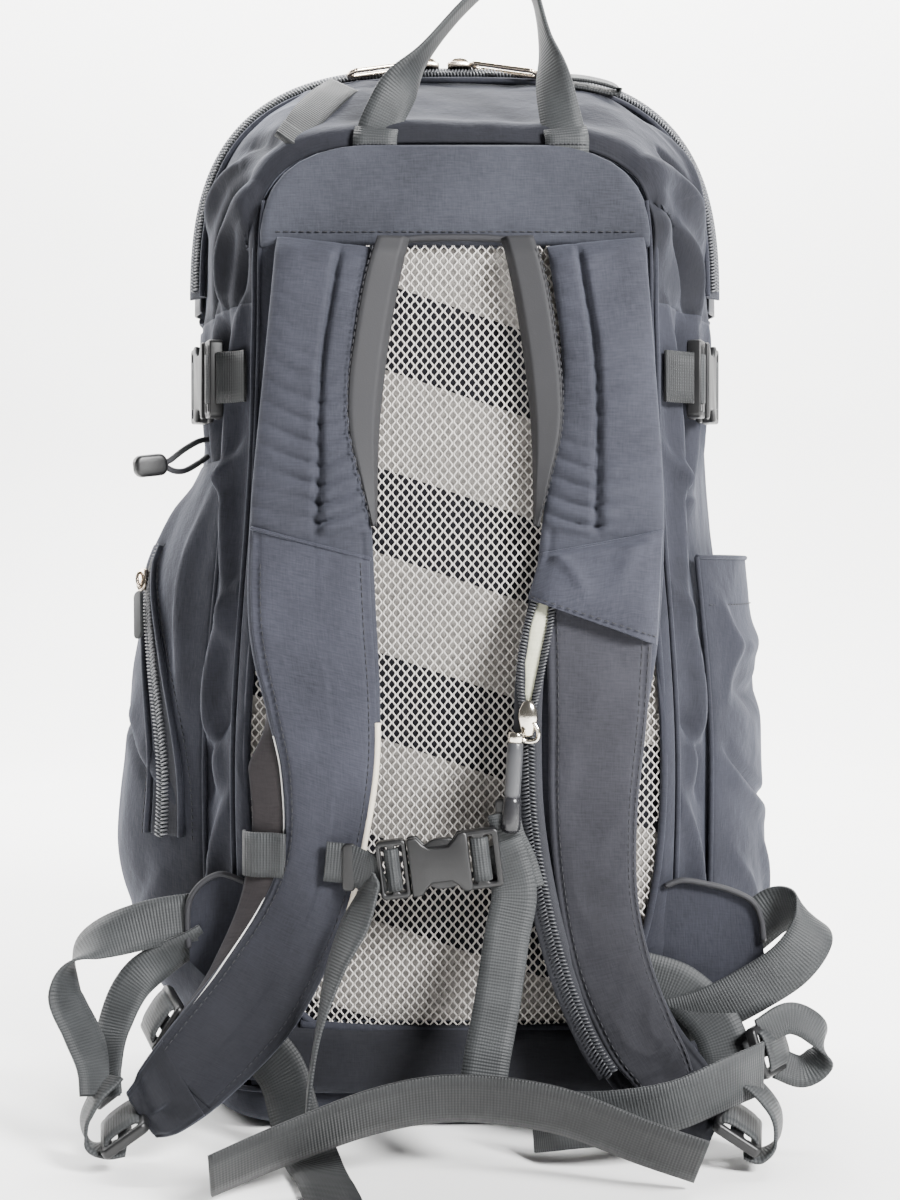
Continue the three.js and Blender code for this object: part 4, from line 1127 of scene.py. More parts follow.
class Strap:
    """A padded strap. Places on its front are given by t along it, u across it and a lift off it."""

    def __init__(self, points, across, widths, thicks, relief):
        self.fine = np.linspace(0, 1, 601)
        self.place = catmull(points, self.fine)
        way = unit(np.gradient(self.place, axis=0))
        wide = catmull(across, self.fine)
        self.wide = unit(wide - np.sum(wide * way, 1)[:, None] * way)
        self.out = np.cross(way, self.wide)
        sunk = TUCK * (1 - np.clip(self.fine / 0.014, 0, 1) ** 0.3)
        self.place = self.place - self.out * sunk[:, None]
        self.width = stops(widths, self.fine)
        self.thick = stops(thicks, self.fine)
        self.relief = relief

    def pick(self, values, t):
        t = np.asarray(t, float)
        if values.ndim == 1:
            return np.interp(t, self.fine, values)
        return np.stack([np.interp(t, self.fine, values[:, k]) for k in range(3)], -1)

    def front(self, t, u, lift=0.0, relief=True):
        t, u, lift = np.broadcast_arrays(np.asarray(t, float), np.asarray(u, float), np.asarray(lift, float))
        round_off = (1 - np.clip(np.abs(u), 0, 1) ** 3.2) ** (1 / 2.4) * (0.3 + 0.7 * smooth(t / 0.012))
        height = self.pick(self.thick, t) / 2 * round_off + lift
        if relief:
            height = height + self.relief(t, u) * round_off
        return (
            self.pick(self.place, t)
            + self.pick(self.wide, t) * (u * self.pick(self.width, t) / 2)[..., None]
            + self.pick(self.out, t) * height[..., None]
        )

    def body(self, name, material, rows=640, columns=56):
        """The whole padded strap: its front with the quilting, and its back as the plain front mirrored."""
        t = np.linspace(0, 1, rows)
        u = -np.cos(np.linspace(0, math.pi, columns))
        ahead = self.front(t[:, None], u[None])
        flat = self.front(t[:, None], u[None], 0.0, False)
        half = self.pick(self.width, t)[:, None] / 2
        across = self.pick(self.wide, t)[:, None] * (u[None] * half)[..., None]
        back = 2 * (self.pick(self.place, t)[:, None] + across) - flat
        rings = np.concatenate([ahead, back[:, ::-1][:, 1:-1]], 1)
        run = run_of(self.pick(self.place, t)) * MM
        across = np.concatenate([u, u[::-1][1:-1]])[None] * (half * MM)
        uvs = np.stack([across, np.repeat(run[:, None], rings.shape[1], 1)], 2)
        return ring_mesh(name, rings, material, uvs.reshape(-1, 2))

    def patch(self, name, ends, low, high, lift, finish, rows, columns, slant):
        """A layer of cloth on the strap's front, between two lines of u; slant tips its upper end."""
        v = np.linspace(0, 1, rows)[:, None]
        w = np.linspace(0, 1, columns)[None]
        u = mix(stops(low, v[:, 0])[:, None], stops(high, v[:, 0])[:, None], w)
        t = mix(ends[0] + slant * u, ends[1], v)
        raised = lift * smooth(np.minimum(v, 1 - v) / 0.02 + 0.35)
        centre = self.place.mean(0) + vec(0, 40, 0)
        cloth(name, self.front(t, u, raised), 1.4, finish=finish, inside=centre)

    def line(self, t0, t1, u_of, lift, count=40):
        """A line on the strap's front and the directions it faces."""
        v = np.linspace(0, 1, count)
        t = mix(t0, t1, v)
        return self.front(t, stops(u_of, v), lift), self.pick(self.out, t)


LEFT_STRAP = [
    (-61, -110.5, 427), (-68, -111, 365), (-68, -112, 302), (-67, -114, 248), (-62, -116, 210),
    (-59, -117, 178), (-62, -118, 140), (-72, -121, 108), (-92, -128, 74), (-116, -134, 47),
    (-133, -137, 30), (-143, -139, 23),
]
RIGHT_STRAP = [
    (66, -110.5, 427), (72, -111, 365), (70, -112, 302), (66, -113, 248), (62, -113.5, 205), (60, -114, 160),
    (62, -116, 120), (70, -120, 84), (84, -126, 52), (101, -131, 32), (113, -133, 23), (121, -135, 19),
]
LEFT_ACROSS = [(1, 0, 0)] * 9 + [(1, 0, -0.5), (0.8, 0, -0.9), (0.9, 0, -0.6)]
RIGHT_ACROSS = [(1, 0, 0)] * 8 + [(1, 0, 0.2), (0.9, 0, 0.6), (0.8, 0, 0.8), (0.8, 0, 0.6)]
LEFT_WIDTH = [46, 44, 56, 60, 54, 46, 38, 40, 45, 42, 35, 25]
RIGHT_WIDTH = [46, 44, 56, 60, 56, 50, 44, 42, 42, 39, 32, 24]
STRAP_THICK = [12, 12, 12, 12, 11, 10, 9]
CROSS_T = 0.208
LEFT_CHANNEL = (0.34, 0.12)
RIGHT_CHANNEL = (-0.4, -0.1)
COVER_END_T = 0.86


def strap_relief(channel, seed):
    """Quilting: a stitched channel, cross puckers that gather at the cross seam, and soft folds below."""

    def relief(t, u):
        above = smooth((CROSS_T - t) / 0.012)
        at = mix(channel[0], channel[1], np.clip(t / CROSS_T, 0, 1))
        groove = -4.6 * np.exp(-(((u - at) / 0.07) ** 2)) * above
        side = np.where(u > at, 1.9, -1.3)
        where = np.stack([u * 26 + side * 40, 0 * t, t * 400 + 9 * side * u], -1)
        droop = 6.0 * np.abs(u - at) ** 1.3 + 6.0 * grain(where, (9, 1, 13), seed + 3)
        pleat = 2 * np.abs(np.sin((t * 470 + droop) / 6.6 * math.pi)) ** 0.8 - 1
        patchy = 0.7 + 0.9 * grain(where, (30, 1, 60), seed + 5)
        broad = grain(where, (12, 1, 62), seed + 1)
        gather = 0.25 + 0.9 * smooth((t - CROSS_T * 0.25) / (CROSS_T * 0.6))
        near = np.exp(-(((u - at) / 0.35) ** 2)) * 0.45 + 0.65
        quilt = (1.9 * pleat * patchy + 2.0 * broad) * gather * near * above
        soft = 1.7 * grain(where, (30, 1, 24), seed + 8) * (0.4 + 0.6 * (1 - above))
        rim = -1.3 * np.exp(-(((np.abs(u) - 0.84) / 0.05) ** 2)) * (1 - above)
        dip = -1.8 * np.exp(-(((t - CROSS_T) / 0.006) ** 2))
        ridges = 1 - 2 * np.abs(grain(where, (44, 1, 30), seed + 6))
        foot = smooth((t - COVER_END_T) / 0.08)
        crumple = (3.4 * grain(where, (60, 1, 44), seed + 2) + 2.4 * ridges) * foot
        return groove + quilt + soft + rim + dip + crumple

    return relief


left_strap = Strap(LEFT_STRAP, LEFT_ACROSS, LEFT_WIDTH, STRAP_THICK, strap_relief(LEFT_CHANNEL, 2.2))
right_strap = Strap(RIGHT_STRAP, RIGHT_ACROSS, RIGHT_WIDTH, STRAP_THICK, strap_relief(RIGHT_CHANNEL, 5.2))


def straps():
    both = (left_strap, "left", LEFT_CHANNEL, 1), (right_strap, "right", RIGHT_CHANNEL, -1)
    for strap, name, channel, inner in both:
        put(strap.body(f"strap_cloth_{name}", look["strap"]), "pack", "cloth", f"shoulder_strap_{name}")
        line, facing = strap.line(0.004, CROSS_T - 0.006, channel, -2.7)
        sewn(f"channel_stitches_{name}", line, facing, 3.6, 2.7, 0.9)
        slope = CROSS_T + 0.003 + inner * 0.012 * np.linspace(-1, 1, 50)
        across = strap.front(slope, np.linspace(-0.96, 0.96, 50), 0.5)
        piped(f"cross_seam_{name}", across, 0.9, finish="smooth", sides=6, count=60)
    left_cover()
    right_cover()
    for side, name in SIDES:
        binding(side, name)


def left_cover():
    """The smooth lower cover of the left strap, with its pipings, its underside and its keeper loop."""
    strap = left_strap
    strap.patch(
        "strap_cover_left", (CROSS_T + 0.002, COVER_END_T), (-0.94, -0.93, -0.92), (0.94, 0.93, 0.92), 0.7,
        "smooth", 260, 44, 0.011,
    )
    for u, name in ((-0.78, "outer"), (0.8, "inner")):
        line, facing = strap.line(CROSS_T + 0.02, COVER_END_T - 0.02, (u, u), 1.0)
        sewn(f"cover_stitches_{name}", line, facing)
    # A patch in the darker copy of the nylon over the strap's end: painted shade where the low end lies in
    # shadow.
    strap.patch("strap_end_left", (0.855, 0.998), (-0.95, -0.95), (0.95, 0.95), 0.9, "shade", 60, 40, 0.02)
    line, _ = strap.line(0.4, 0.615, (0.95, 0.97), 0.2)
    piped("cream_piping", line, 1.6, finish="piping", count=90, slot="trim")
    line, _ = strap.line(0.4, 0.78, (-0.97, -0.99, -0.99, -0.9), -0.2)
    piped("white_piping", line, 0.5, finish="white", count=140, slot="trim")
    first, last = 0.36, 0.8
    under = []
    for t in np.linspace(first, last, 70):
        reach = 15 * float(smooth((t - first) / 0.1)) * float(smooth((last - t) / 0.26)) + 1
        edge = strap.front(t, -0.97, -1.0, False)
        out = -strap.pick(strap.wide, t)
        across = np.linspace(-0.15, 1, 12)
        under.append([edge + out * (reach * w) + vec(0, 4.0 * max(w, 0) ** 1.5, 0) for w in across])
    cloth("strap_underside", np.array(under), 2.4, finish="brown", inside=vec(0, 0, 120))
    keeper_t = 0.56
    base = strap.front(keeper_t, -1, 0, False)
    off = ((-4, -2.2, 0), (-11, -1.6, 0), (-17, 2, 0), (-18, 7, 0))
    loop = [strap.front(keeper_t, -0.88, 1.6, False)] + [base + vec(*step) for step in off]
    strip("keeper_loop", loop, [UP, UP], 21, count=None)


COVER_FOLDS = (
    (((38, 0, 286), (52, 0, 274), (60, 0, 262)), 4, 2.0),
    (((92, 0, 296), (82, 0, 280), (74, 0, 262)), 6, 1.4),
)


def right_cover():
    """A flap from the cross seam down to a slanting hem, over the top of the sleeve."""
    v = np.linspace(0, 1, 90)[:, None, None]
    w = np.linspace(0, 1, 60)
    u = mix(-0.97, 0.97, w)
    start = CROSS_T + 0.003 - 0.012 * u
    top = right_strap.front(start, u, 1.2)
    edge = np.abs(2 * w - 1)
    hem = np.stack([mix(33.5, 94, w), -128.2 + 8 * edge**5, mix(258, 236.5, w)], 1)
    grid = mix(top[None], hem[None], v)
    grid[..., 1] = mix(top[None, :, 1], hem[None, :, 1], smooth(v[..., 0] * 1.25))
    under = right_strap.front(mix(start[None], 0.335, v[..., 0]), u[None], 1.8)
    grid[..., 1] = np.minimum(grid[..., 1], under[..., 1])
    lift = 0.8 + 1.0 * grain(grid, (14, 1, 20), 6.6) + creased(grid * vec(1, 0, 1), COVER_FOLDS)
    grid[..., 1] -= lift * smooth((1 - edge)[None] / 0.3) * smooth(v[..., 0] / 0.1)
    cloth("strap_cover_right", grid, 1.6, finish="smooth", inside=vec(65, 0, 270))
    sewn("cover_hem_stitches", grid[-7, 2:-2] - vec(0, 0.8, 0), REARWARD)


BINDING_OUTER = [36.5, 42.5, 46.5, 49.5, 49.5, 44.5, 38.5]
BINDING_INNER = [21.5, 26.5, 30.5, 33.5, 35.6, 36.4, 36.8]


def binding(side, name):
    """The smooth facing over the strap's inner edge: a long leaf that rolls down to the net."""
    outer = stops(BINDING_OUTER, np.linspace(0, 1, 80))
    inner = stops(BINDING_INNER, np.linspace(0, 1, 80))
    z = np.linspace(428, 292, 80)
    w = np.linspace(0, 1, 22)
    leaf = -117.6 + 2.4 * w + 7.0 * smooth((w - 0.78) / 0.3) + 1.0 * np.exp(-((w / 0.08) ** 2))
    rows = [
        np.stack([side * mix(a, b, w), leaf + smooth((h - 418) / 12) * 5.0, np.full_like(w, h)], 1)
        for a, b, h in zip(outer, inner, z)
    ]
    grid = np.array(rows)
    grid[..., 1] -= 0.5 * grain(grid, (18, 1, 12), 7.7)
    cloth(f"binding_cloth_{name}", grid, 1.8, f"binding_{name}", finish="binding", slot="trim")
    edge = [(side * (a + 0.3), -117.9, h) for a, h in zip(outer[4:-3:6], z[4:-3:6])]
    sewn(f"binding_stitches_{name}", edge, REARWARD, 3.3, 2.4, 0.7, "trim")


# ---------------------------------------------------------------- drinking-tube sleeve
SLEEVE_Y = -123.5
SLEEVE = [
    (66, SLEEVE_Y + 6, 262), (67, SLEEVE_Y + 2.5, 246), (66, SLEEVE_Y, 205), (64, SLEEVE_Y - 0.5, 160),
    (66, SLEEVE_Y - 2, 120), (73, SLEEVE_Y - 5.5, 86), (84, SLEEVE_Y - 10.5, 59), (92, SLEEVE_Y - 13, 46),
    (97, SLEEVE_Y - 13.5, 37),
]
SLEEVE_ACROSS = [(1, 0, -0.25)] + [(1, 0, 0)] * 6 + [(1, 0, 0.2), (1, 0, 0.3)]
SLEEVE_WIDTH = [53, 50, 46, 41, 37, 36, 34, 30, 26]
SLEEVE_THICK = [5.5, 6, 6, 6, 6, 6, 6, 6, 5]
ZIP_LINE = [
    (42, SLEEVE_Y + 4, 262), (38.5, SLEEVE_Y + 0.8, 246), (34.5, SLEEVE_Y, 222), (33.5, SLEEVE_Y, 190),
    (35, SLEEVE_Y - 0.5, 155), (41, SLEEVE_Y - 2.5, 118), (50, SLEEVE_Y - 6, 84), (62, SLEEVE_Y - 11, 56),
    (71, SLEEVE_Y - 14, 42),
]
# Where the zip has parted: its middle, how far each row of teeth stands off it, its depth and its height.
PARTED = (
    (42, 3.4, -121.8, 261), (38.5, 5.2, -124.6, 246), (35.2, 5.2, -125.8, 228), (33.8, 3.2, -126, 212),
    (33.6, 1.2, -126, 205),
)
# The lining seen between the teeth: its height, its middle and its half width.
LENS = ((260, 41.6, 3.0), (246, 38.6, 4.0), (228, 35.4, 3.8), (214, 34.0, 2.2), (206, 33.6, 0.6))


def sleeve_relief(t, u):
    where = np.stack([u * 22, 0 * t, t * 220], -1)
    folds = 1.7 * grain(where, (30, 1, 34), 3.3) + 0.7 * (1 - 2 * np.abs(grain(where, (60, 1, 60), 8.3)))
    rim = -1.2 * np.exp(-(((np.abs(u) - 0.86) / 0.045) ** 2))
    return folds + rim


def sleeve():
    strap = Strap(SLEEVE, SLEEVE_ACROSS, SLEEVE_WIDTH, SLEEVE_THICK, sleeve_relief)
    put(strap.body("sleeve_cloth", look["sleeve"], 320, 50), "pack", "cloth", "tube_sleeve")
    for u, name in ((0.8, "outer"), (0.93, "edge"), (-0.8, "inner")):
        line, facing = strap.line(0.07, 0.985, (u, u), 0.1)
        sewn(f"sleeve_stitches_{name}", line, facing, 3.6, 2.5)
    tape = webbing("sleeve_tape", ZIP_LINE, [(1, 0, 0), (1, 0, 0), (1, 0, 0.5)], 13, look["tape"], 1.2, 120)
    put(tape, "pack", "zip", "sleeve_zip_tape")
    closed = [vec(33.6, SLEEVE_Y - 1.6, 199)] + [vec(*p) - vec(0, 1.6, 0) for p in ZIP_LINE[3:]]
    put(coil("sleeve_coil", closed, REARWARD, look["zip"], 6.6, 1.75, 2.2), "pack", "zip")
    for side, name in SIDES:
        place = along_curve([(x + side * spread, y, z) for x, spread, y, z in PARTED], 38)
        ways = vec(1, 0, 0)[None] - unit(np.gradient(place, axis=0)) * side * 0.3
        ups = np.tile(REARWARD, (38, 1))
        teeth = beads(f"sleeve_teeth_{name}", place, ways, ups, (3.9, 1.15, 2.2), look["zip"])
        put(teeth, "pack", "zip")
    w = np.linspace(-1, 1, 7)
    lens = [
        np.stack([x + half * w, -124.6 + 0.8 * w * w + max(z - 244, 0) * 0.16, np.full_like(w, z)], 1)
        for z, x, half in LENS
    ]
    cloth("sleeve_lining", np.array(lens), 0.5, finish="lining")
    sleeve_slider()


TEARDROP_AT = vec(33.5, SLEEVE_Y - 4.6, 203)
TEARDROP = ((0.2, 8.6), (2.4, 7.4), (4.1, 3.6), (4.3, 0.0), (3.4, -4.4), (2.4, -7.4), (1.9, -8.6))
BOW = ((2.6, -1.6, -2), (4.6, -2.0, -6), (3.6, -1.8, -10), (-1, -1.8, -10.5), (-3.6, -1.6, -8))
HANDLE_AT = vec(27.8, SLEEVE_Y - 7.8, 195.5)
HANDLE_AXIS = vec(-0.06, 0, -1)
# Profiles of the handle's parts: radius, and distance down.
COLLAR = ((2.2, -1.5), (3.5, -1.3), (3.7, 0), (3.7, 2.6), (3.4, 3.4))
GRIP = ((3.1, 3.2), (3.6, 4), (3.75, 8), (3.75, 26), (3.5, 28.6), (2.8, 29))
GRIP_END = ((2.8, 28), (3.9, 28.6), (4.3, 31), (4.7, 40), (4.6, 43), (3.6, 44.6), (1.2, 45.2))


def sleeve_slider():
    """A teardrop slider with a collared black handle."""
    body = "sleeve_slider"
    angles = np.arange(20) / 20 * 2 * math.pi
    rings = [
        [TEARDROP_AT + vec(r * math.cos(a) * 1.05, r * math.sin(a) * 0.55, z) for a in angles]
        for r, z in TEARDROP
    ]
    put(ring_mesh("sleeve_slider_body", np.array(rings), look["chrome"]), body, "steel", "sleeve_zip_slider")
    bow = [TEARDROP_AT + vec(*step) for step in BOW]
    piped("sleeve_slider_bow", bow, 1.0, finish="chrome", count=40, body=body, slot="steel")
    handle = (
        ("sleeve_collar", COLLAR, "chrome", "steel", ()),
        ("sleeve_handle", GRIP, "grip", "plastic", ("sleeve_zip_puller",)),
        ("sleeve_handle_end", GRIP_END, "gloss", "plastic", ()),
    )
    for name, profile, finish, slot, nodes in handle:
        put(lathe(name, HANDLE_AT, HANDLE_AXIS, profile, look[finish]), "sleeve_puller", slot, *nodes)


def lathe(name, at, axis, profile, material, sides=28):
    """A turned part: profile holds its radius and its distance along the axis."""
    axis = unit(axis)
    side = unit(np.cross(axis, vec(0, 1, 0.02)))
    up = np.cross(side, axis)
    angles = np.arange(sides) / sides * 2 * math.pi
    rings = [
        [at + axis * h + side * (r * math.cos(a)) + up * (r * math.sin(a)) for a in angles]
        for r, h in profile
    ]
    return ring_mesh(name, np.array(rings), material)


# ---------------------------------------------------------------- haul loop and tabs
HAUL = [
    (-38, -95.5, 477), (-35, -92.5, 487), (-24, -88, 508), (2, -86, 541), (24, -86, 559),
    (37, -86, 552), (44, -88, 522), (50, -92.5, 490), (53, -95.5, 477),
]
HAUL_ACROSS = [
    (1, 0, 0), (1, 0.35, 0.1), (0.35, 1, 0.2), (0, 1, 0), (0, 1, 0), (0, 1, 0), (-0.25, 1, 0.2),
    (-1, 0.6, 0.1), (-1, 0, 0),
]


def haul_loop():
    loop = webbing("haul_webbing", HAUL, HAUL_ACROSS, WEB20, look["webbing"], 1.7, 180)
    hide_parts("haul_loop")
    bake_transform(loop)
    for x, name in ((-38.2, "left"), (53.2, "right")):
        foot = [(x, -97.6, 466.5), (x, -98.0, 471), (x, -97.8, 477), (x * 0.985, -95.2, 482)]
        strip(f"haul_foot_{name}", foot, [(1, 0, 0), (1, 0, 0)], WEB20 + 1, thick=2.0, count=24)
        for z in (469.2, 473.6):
            row = [(x - 8.5, -99.1, z), (x, -99.3, z + 0.3), (x + 8.5, -99.1, z)]
            sewn(f"haul_tack_{name}_{int(z)}", row, REARWARD, 1.7, 1.5, 0.8, "webbing")


# The end tab's line: its depth, its share of the arch and its height off the cloth.
END_TAB = ((-44, 0.466, 4.5), (-60, 0.456, 5.5), (-76, 0.438, 7.5), (-90, 0.41, 8.0))
LOOP_TAB = [
    (50, -27, 527), (66, -28, 526), (80, -29, 522.6), (84.6, -29, 519.4),
    (80, -29, 518.6), (66, -28, 521.8), (52, -27, 523.8),
]


def tabs():
    tab = [on_rib(rib_at(y), share)[0] + vec(0, -0.35 * up, up) for y, share, up in END_TAB]
    lean = [(0.75, 0.5, 0.1), (0.7, 0.55, 0.2)]
    strip("end_tab_webbing", tab, lean, 16, "end_tab", thick=2.2, count=40, finish="dim")
    lip = [mix(tab[2], tab[3], 0.62), mix(tab[2], tab[3], 0.82), tab[3] + (tab[3] - tab[2]) * 0.04]
    strip("end_tab_lip", lip, lean, 17, thick=3.2, count=16, finish="dim")
    strip("loop_tab_webbing", LOOP_TAB, [(0, 1, 0.5)] * 2, 12.5, "loop_tab", thick=1.5, finish="dim")


# ---------------------------------------------------------------- main zip
TRACK_Y = ZIP_Y - 5


def main_zip():
    line, outward = arch_line(TRACK_Y, 2.0, SIDE_SHARE + 0.004, 200)
    lean = [unit(vec(0, 1, 0) + 0.9 * outward[k]) for k in range(0, len(outward), 9)]
    tape = webbing("main_tape", line - vec(0, 2.5, 0), lean, 15, look["tape"], 1.2, 260)
    put(tape, "pack", "zip", "main_zip_track")
    line, outward = arch_line(TRACK_Y - 3, 4.6, SIDE_SHARE + 0.006, 200)
    facing = unit(outward + vec(0, -0.9, 0))
    put(coil("main_coil", line, facing, look["teeth"], 6.2, 1.7, 2.4), "pack", "zip")
    gutter, _ = arch_line(TRACK_Y - 9, 1.4, SIDE_SHARE + 0.004)
    piped("zip_gutter", gutter, 1.5, count=220)
    slider_z = float(rib_at(TRACK_Y)[5]) + 7.8
    for side, name in SIDES:
        at = vec(side * 8.5 - 6, TRACK_Y, slider_z)
        bodies = f"main_slider_{name}", f"main_slider_{name}"
        slider(f"main_slider_body_{name}", at, vec(1, 0, 0), vec(0, 1, 0), *bodies, 1.05)
        lie = unit(vec(1, side * -0.42, side * -0.26))
        m = frame_matrix(at + vec(side * 6, 0, 0.4) + lie * side * 19.5, lie, vec(0, 1, 0))
        outline = rounded(37, 8.4, 4.1, steps=8)
        path = local(m, [(x, y, 0.0) for x, y in outline + outline[:1]])
        puller = f"wire_puller_{name}"
        put(tube(f"wire_ring_{name}", path, 1.25, look["steel"], 10, 130), puller, "steel", puller)


# ---------------------------------------------------------------- buckles
def local(m, points):
    """Millimetre points in a frame, as millimetre points in the scene."""
    return [np.array(m @ Vector(np.array(p, float) * MM)) / MM for p in points]


def raised(m, off):
    """The same frame, raised by off along its facing."""
    return m @ Matrix.Translation(Vector((0, 0, off * MM)))


def housing(name, m, size, body, node):
    """The female half: a waisted shell with windows for the prongs and a webbing ladder behind it."""
    long, wide, deep, cavity, _ = size
    w = wide / 2
    shell = [
        (0, w - 0.6), (1.2, w), (cavity * 0.2, w - 0.2), (cavity * 0.3, w - 3.4), (cavity * 0.4, w - 5.4),
        (cavity * 0.78, w - 5.4), (cavity * 0.88, w - 3.2), (cavity * 0.98, w - 0.2),
        (cavity * 1.1, w + 0.2), (cavity * 1.16, w - 0.8),
    ]
    shell = shell + [(x, -y) for x, y in shell[::-1]]
    for off, part in ((deep / 2 - 1.6, "front"), (1.6 - deep / 2, "back")):
        moulding(f"{name}_{part}", [shell], 3.2, 1.1, raised(m, off), body)
    start = cavity * 1.02
    slot_high = wide - SLOT_RIM
    gap = (long - start - 2.6) / 2
    ladder = [rounded(long - start, wide, 2.2, (long + start) / 2)]
    ladder.append(rounded(gap * 0.44, slot_high, 0.8, start + 1.6 + gap * 0.32, steps=2)[::-1])
    ladder.append(rounded(gap * 0.5, slot_high, 0.8, long - 2.6 - gap * 0.3, steps=2)[::-1])
    moulding(f"{name}_ladder", ladder, deep - 2.6, 1.0, m, body, node)


def plug(name, m, size, body, node):
    """The male half's ladder and its middle tongue."""
    _, wide, deep, cavity, base = size
    ladder = [rounded(base, wide, 2.4, -base / 2 - 0.4)]
    for share in (0.28, 0.74):
        ladder.append(rounded(base * 0.23, wide - SLOT_RIM, 0.8, -base * share - 0.4, steps=2)[::-1])
    moulding(f"{name}_frame", ladder, deep - 2.8, 1.0, m, body, node)
    moulding(f"{name}_tongue", [rounded(cavity - 3, 4.4, 1.4, cavity / 2 - 2)], 3.2, 0.7, m, body, steps=2)


def prong(name, m, size, side, body, *nodes):
    """One sprung arm of the male half."""
    _, wide, deep, cavity, _ = size
    far = wide / 2 - 3.0
    arm = [
        (0.4, far - 3.8), (cavity - 3, far - 3.8), (cavity - 1.4, far - 1.8), (cavity - 3.4, far + 0.6),
        (cavity * 0.66, far + 1.2), (cavity * 0.48, far + 0.9), (cavity * 0.32, far - 1.2), (0.4, far - 1.3),
    ]
    moulding(name, [[(x, side * y) for x, y in arm]], deep - 5.2, 0.8, m, body, *nodes)


def lap(name, m, x0, x1, wide, high, body):
    """Webbing that passes over a bar."""
    middle = (x0 + x1) / 2
    path = [(x0, 0, -1.5), (x0 + 0.6, 0, high), (middle, 0, high + 1.1), (x1 - 0.6, 0, high), (x1, 0, -1.5)]
    y = np.array(m.to_3x3() @ Vector((0, 1, 0)))
    strip(name, local(m, path), [y, y], wide, thick=1.5, count=26, body=body)


SLOT_RIM = 5.5
# A buckle's overall length, width and depth, its cavity's length and its plug's base.
STERNUM_SIZE = (42, 27, 10, 24, 14)
CLIP_SIZE = (34, 38, 10, 18, 12)
TILT = math.radians(7)
STERNUM_M = frame_matrix(
    vec(-21, -134.5, 135.5), vec(math.cos(TILT), 0, math.sin(TILT)), vec(-math.sin(TILT), 0, math.cos(TILT))
)
STERNUM_TAIL = [
    (-37, -137.4, 133), (-40, -139.5, 124), (-46, -144.5, 110), (-54, -149, 92), (-61, -154, 66),
    (-65, -159, 40), (-66, -162, 18),
]
TAIL_ACROSS = [(0.3, 0, 1), (0.75, -0.35, 0.6), (0.45, -0.9, 0.2), (0.12, -1, 0), (0.1, -1, 0), (0.1, -1, 0)]
STERNUM_LEAD = [
    (-60, -128.4, 137), (-50, -129.5, 136), (-42, -132.4, 133.5), (-37, -134.8, 132.5), (-33, -135.5, 133.5),
]
STERNUM_RIGHT = [
    (20.5, -131.6, 146), (24, -130.5, 136), (27, -131, 122), (23.5, -134.5, 103), (19, -143.5, 76),
    (14, -152, 52), (12, -156, 38),
]
RIGHT_LEAN = [(0.9, 0, 0.5), (1, 0, -0.1), (1, 0, 0), (1, 0, 0), (1, 0, 0)]
STERNUM_FOLD = [(22, -131, 160), (24.5, -130.2, 149), (30, -128.6, 137), (34, -128.4, 124)]


def sternum():
    mine = "sternum_strap"
    m = STERNUM_M
    housing("sternum_shell", m, STERNUM_SIZE, mine, "sternum_housing")
    plug("sternum_plug", m, STERNUM_SIZE, "sternum_plug", "sternum_plug")
    for side, name in ((1, "upper"), (-1, "lower")):
        arm = f"sternum_prong_{name}"
        prong(f"sternum_arm_{name}", m, STERNUM_SIZE, side, arm, arm)
    lap("sternum_lap_plug", m, -10.6, -4.6, 19.5, 2.8, "sternum_plug")
    lap("sternum_lap_housing", m, 29.2, 36.6, 20, 2.8, mine)
    strip("sternum_tail_left", STERNUM_TAIL, TAIL_ACROSS, WEB20 - 1, count=90, body="sternum_plug")
    end = [(-65.2, -161, 26), (-65.8, -162.4, 17)]
    across = [(0.1, -1, 0)] * 2
    strip("sternum_tail_left_hem", end, across, WEB20 - 0.5, thick=4.4, count=8, body="sternum_plug")
    across = [UP, (-0.12, 0, 1)]
    node = "sternum_webbing_left"
    lead = strip("sternum_lead_left", STERNUM_LEAD, across, 18.5, node, count=34, body=mine)
    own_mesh(lead)
    node = "sternum_webbing_right"
    strip("sternum_tail_right", STERNUM_RIGHT, RIGHT_LEAN, WEB20 + 1, node, count=100, body=mine)
    hem = [(12.6, -156.4, 44), (11.8, -157.6, 36)]
    strip("sternum_tail_right_hem", hem, [(1, 0, 0)] * 2, WEB20 + 2, thick=3.4, count=8, body=mine)
    across = [(0.6, 0, 0.3), (1, 0.1, 0.2)]
    strip("sternum_fold_right", STERNUM_FOLD, across, 15, thick=1.5, count=30, body=mine)
    glider = frame_matrix(vec(23, -128.5, 160), vec(1, 0, 0.1), UP)
    node = "sternum_glider_right"
    moulding(node, [rounded(9, 13, 2.5)], 4, 1.2, glider, mine, node)
    glider = frame_matrix(vec(-49, -129.6, 134.5), vec(1, 0, 0), UP)
    node = "sternum_glider_left"
    moulding(node, [rounded(6, 22, 2)], 3.0, 0.9, glider, mine, node)


CLIP_Z = 365.0


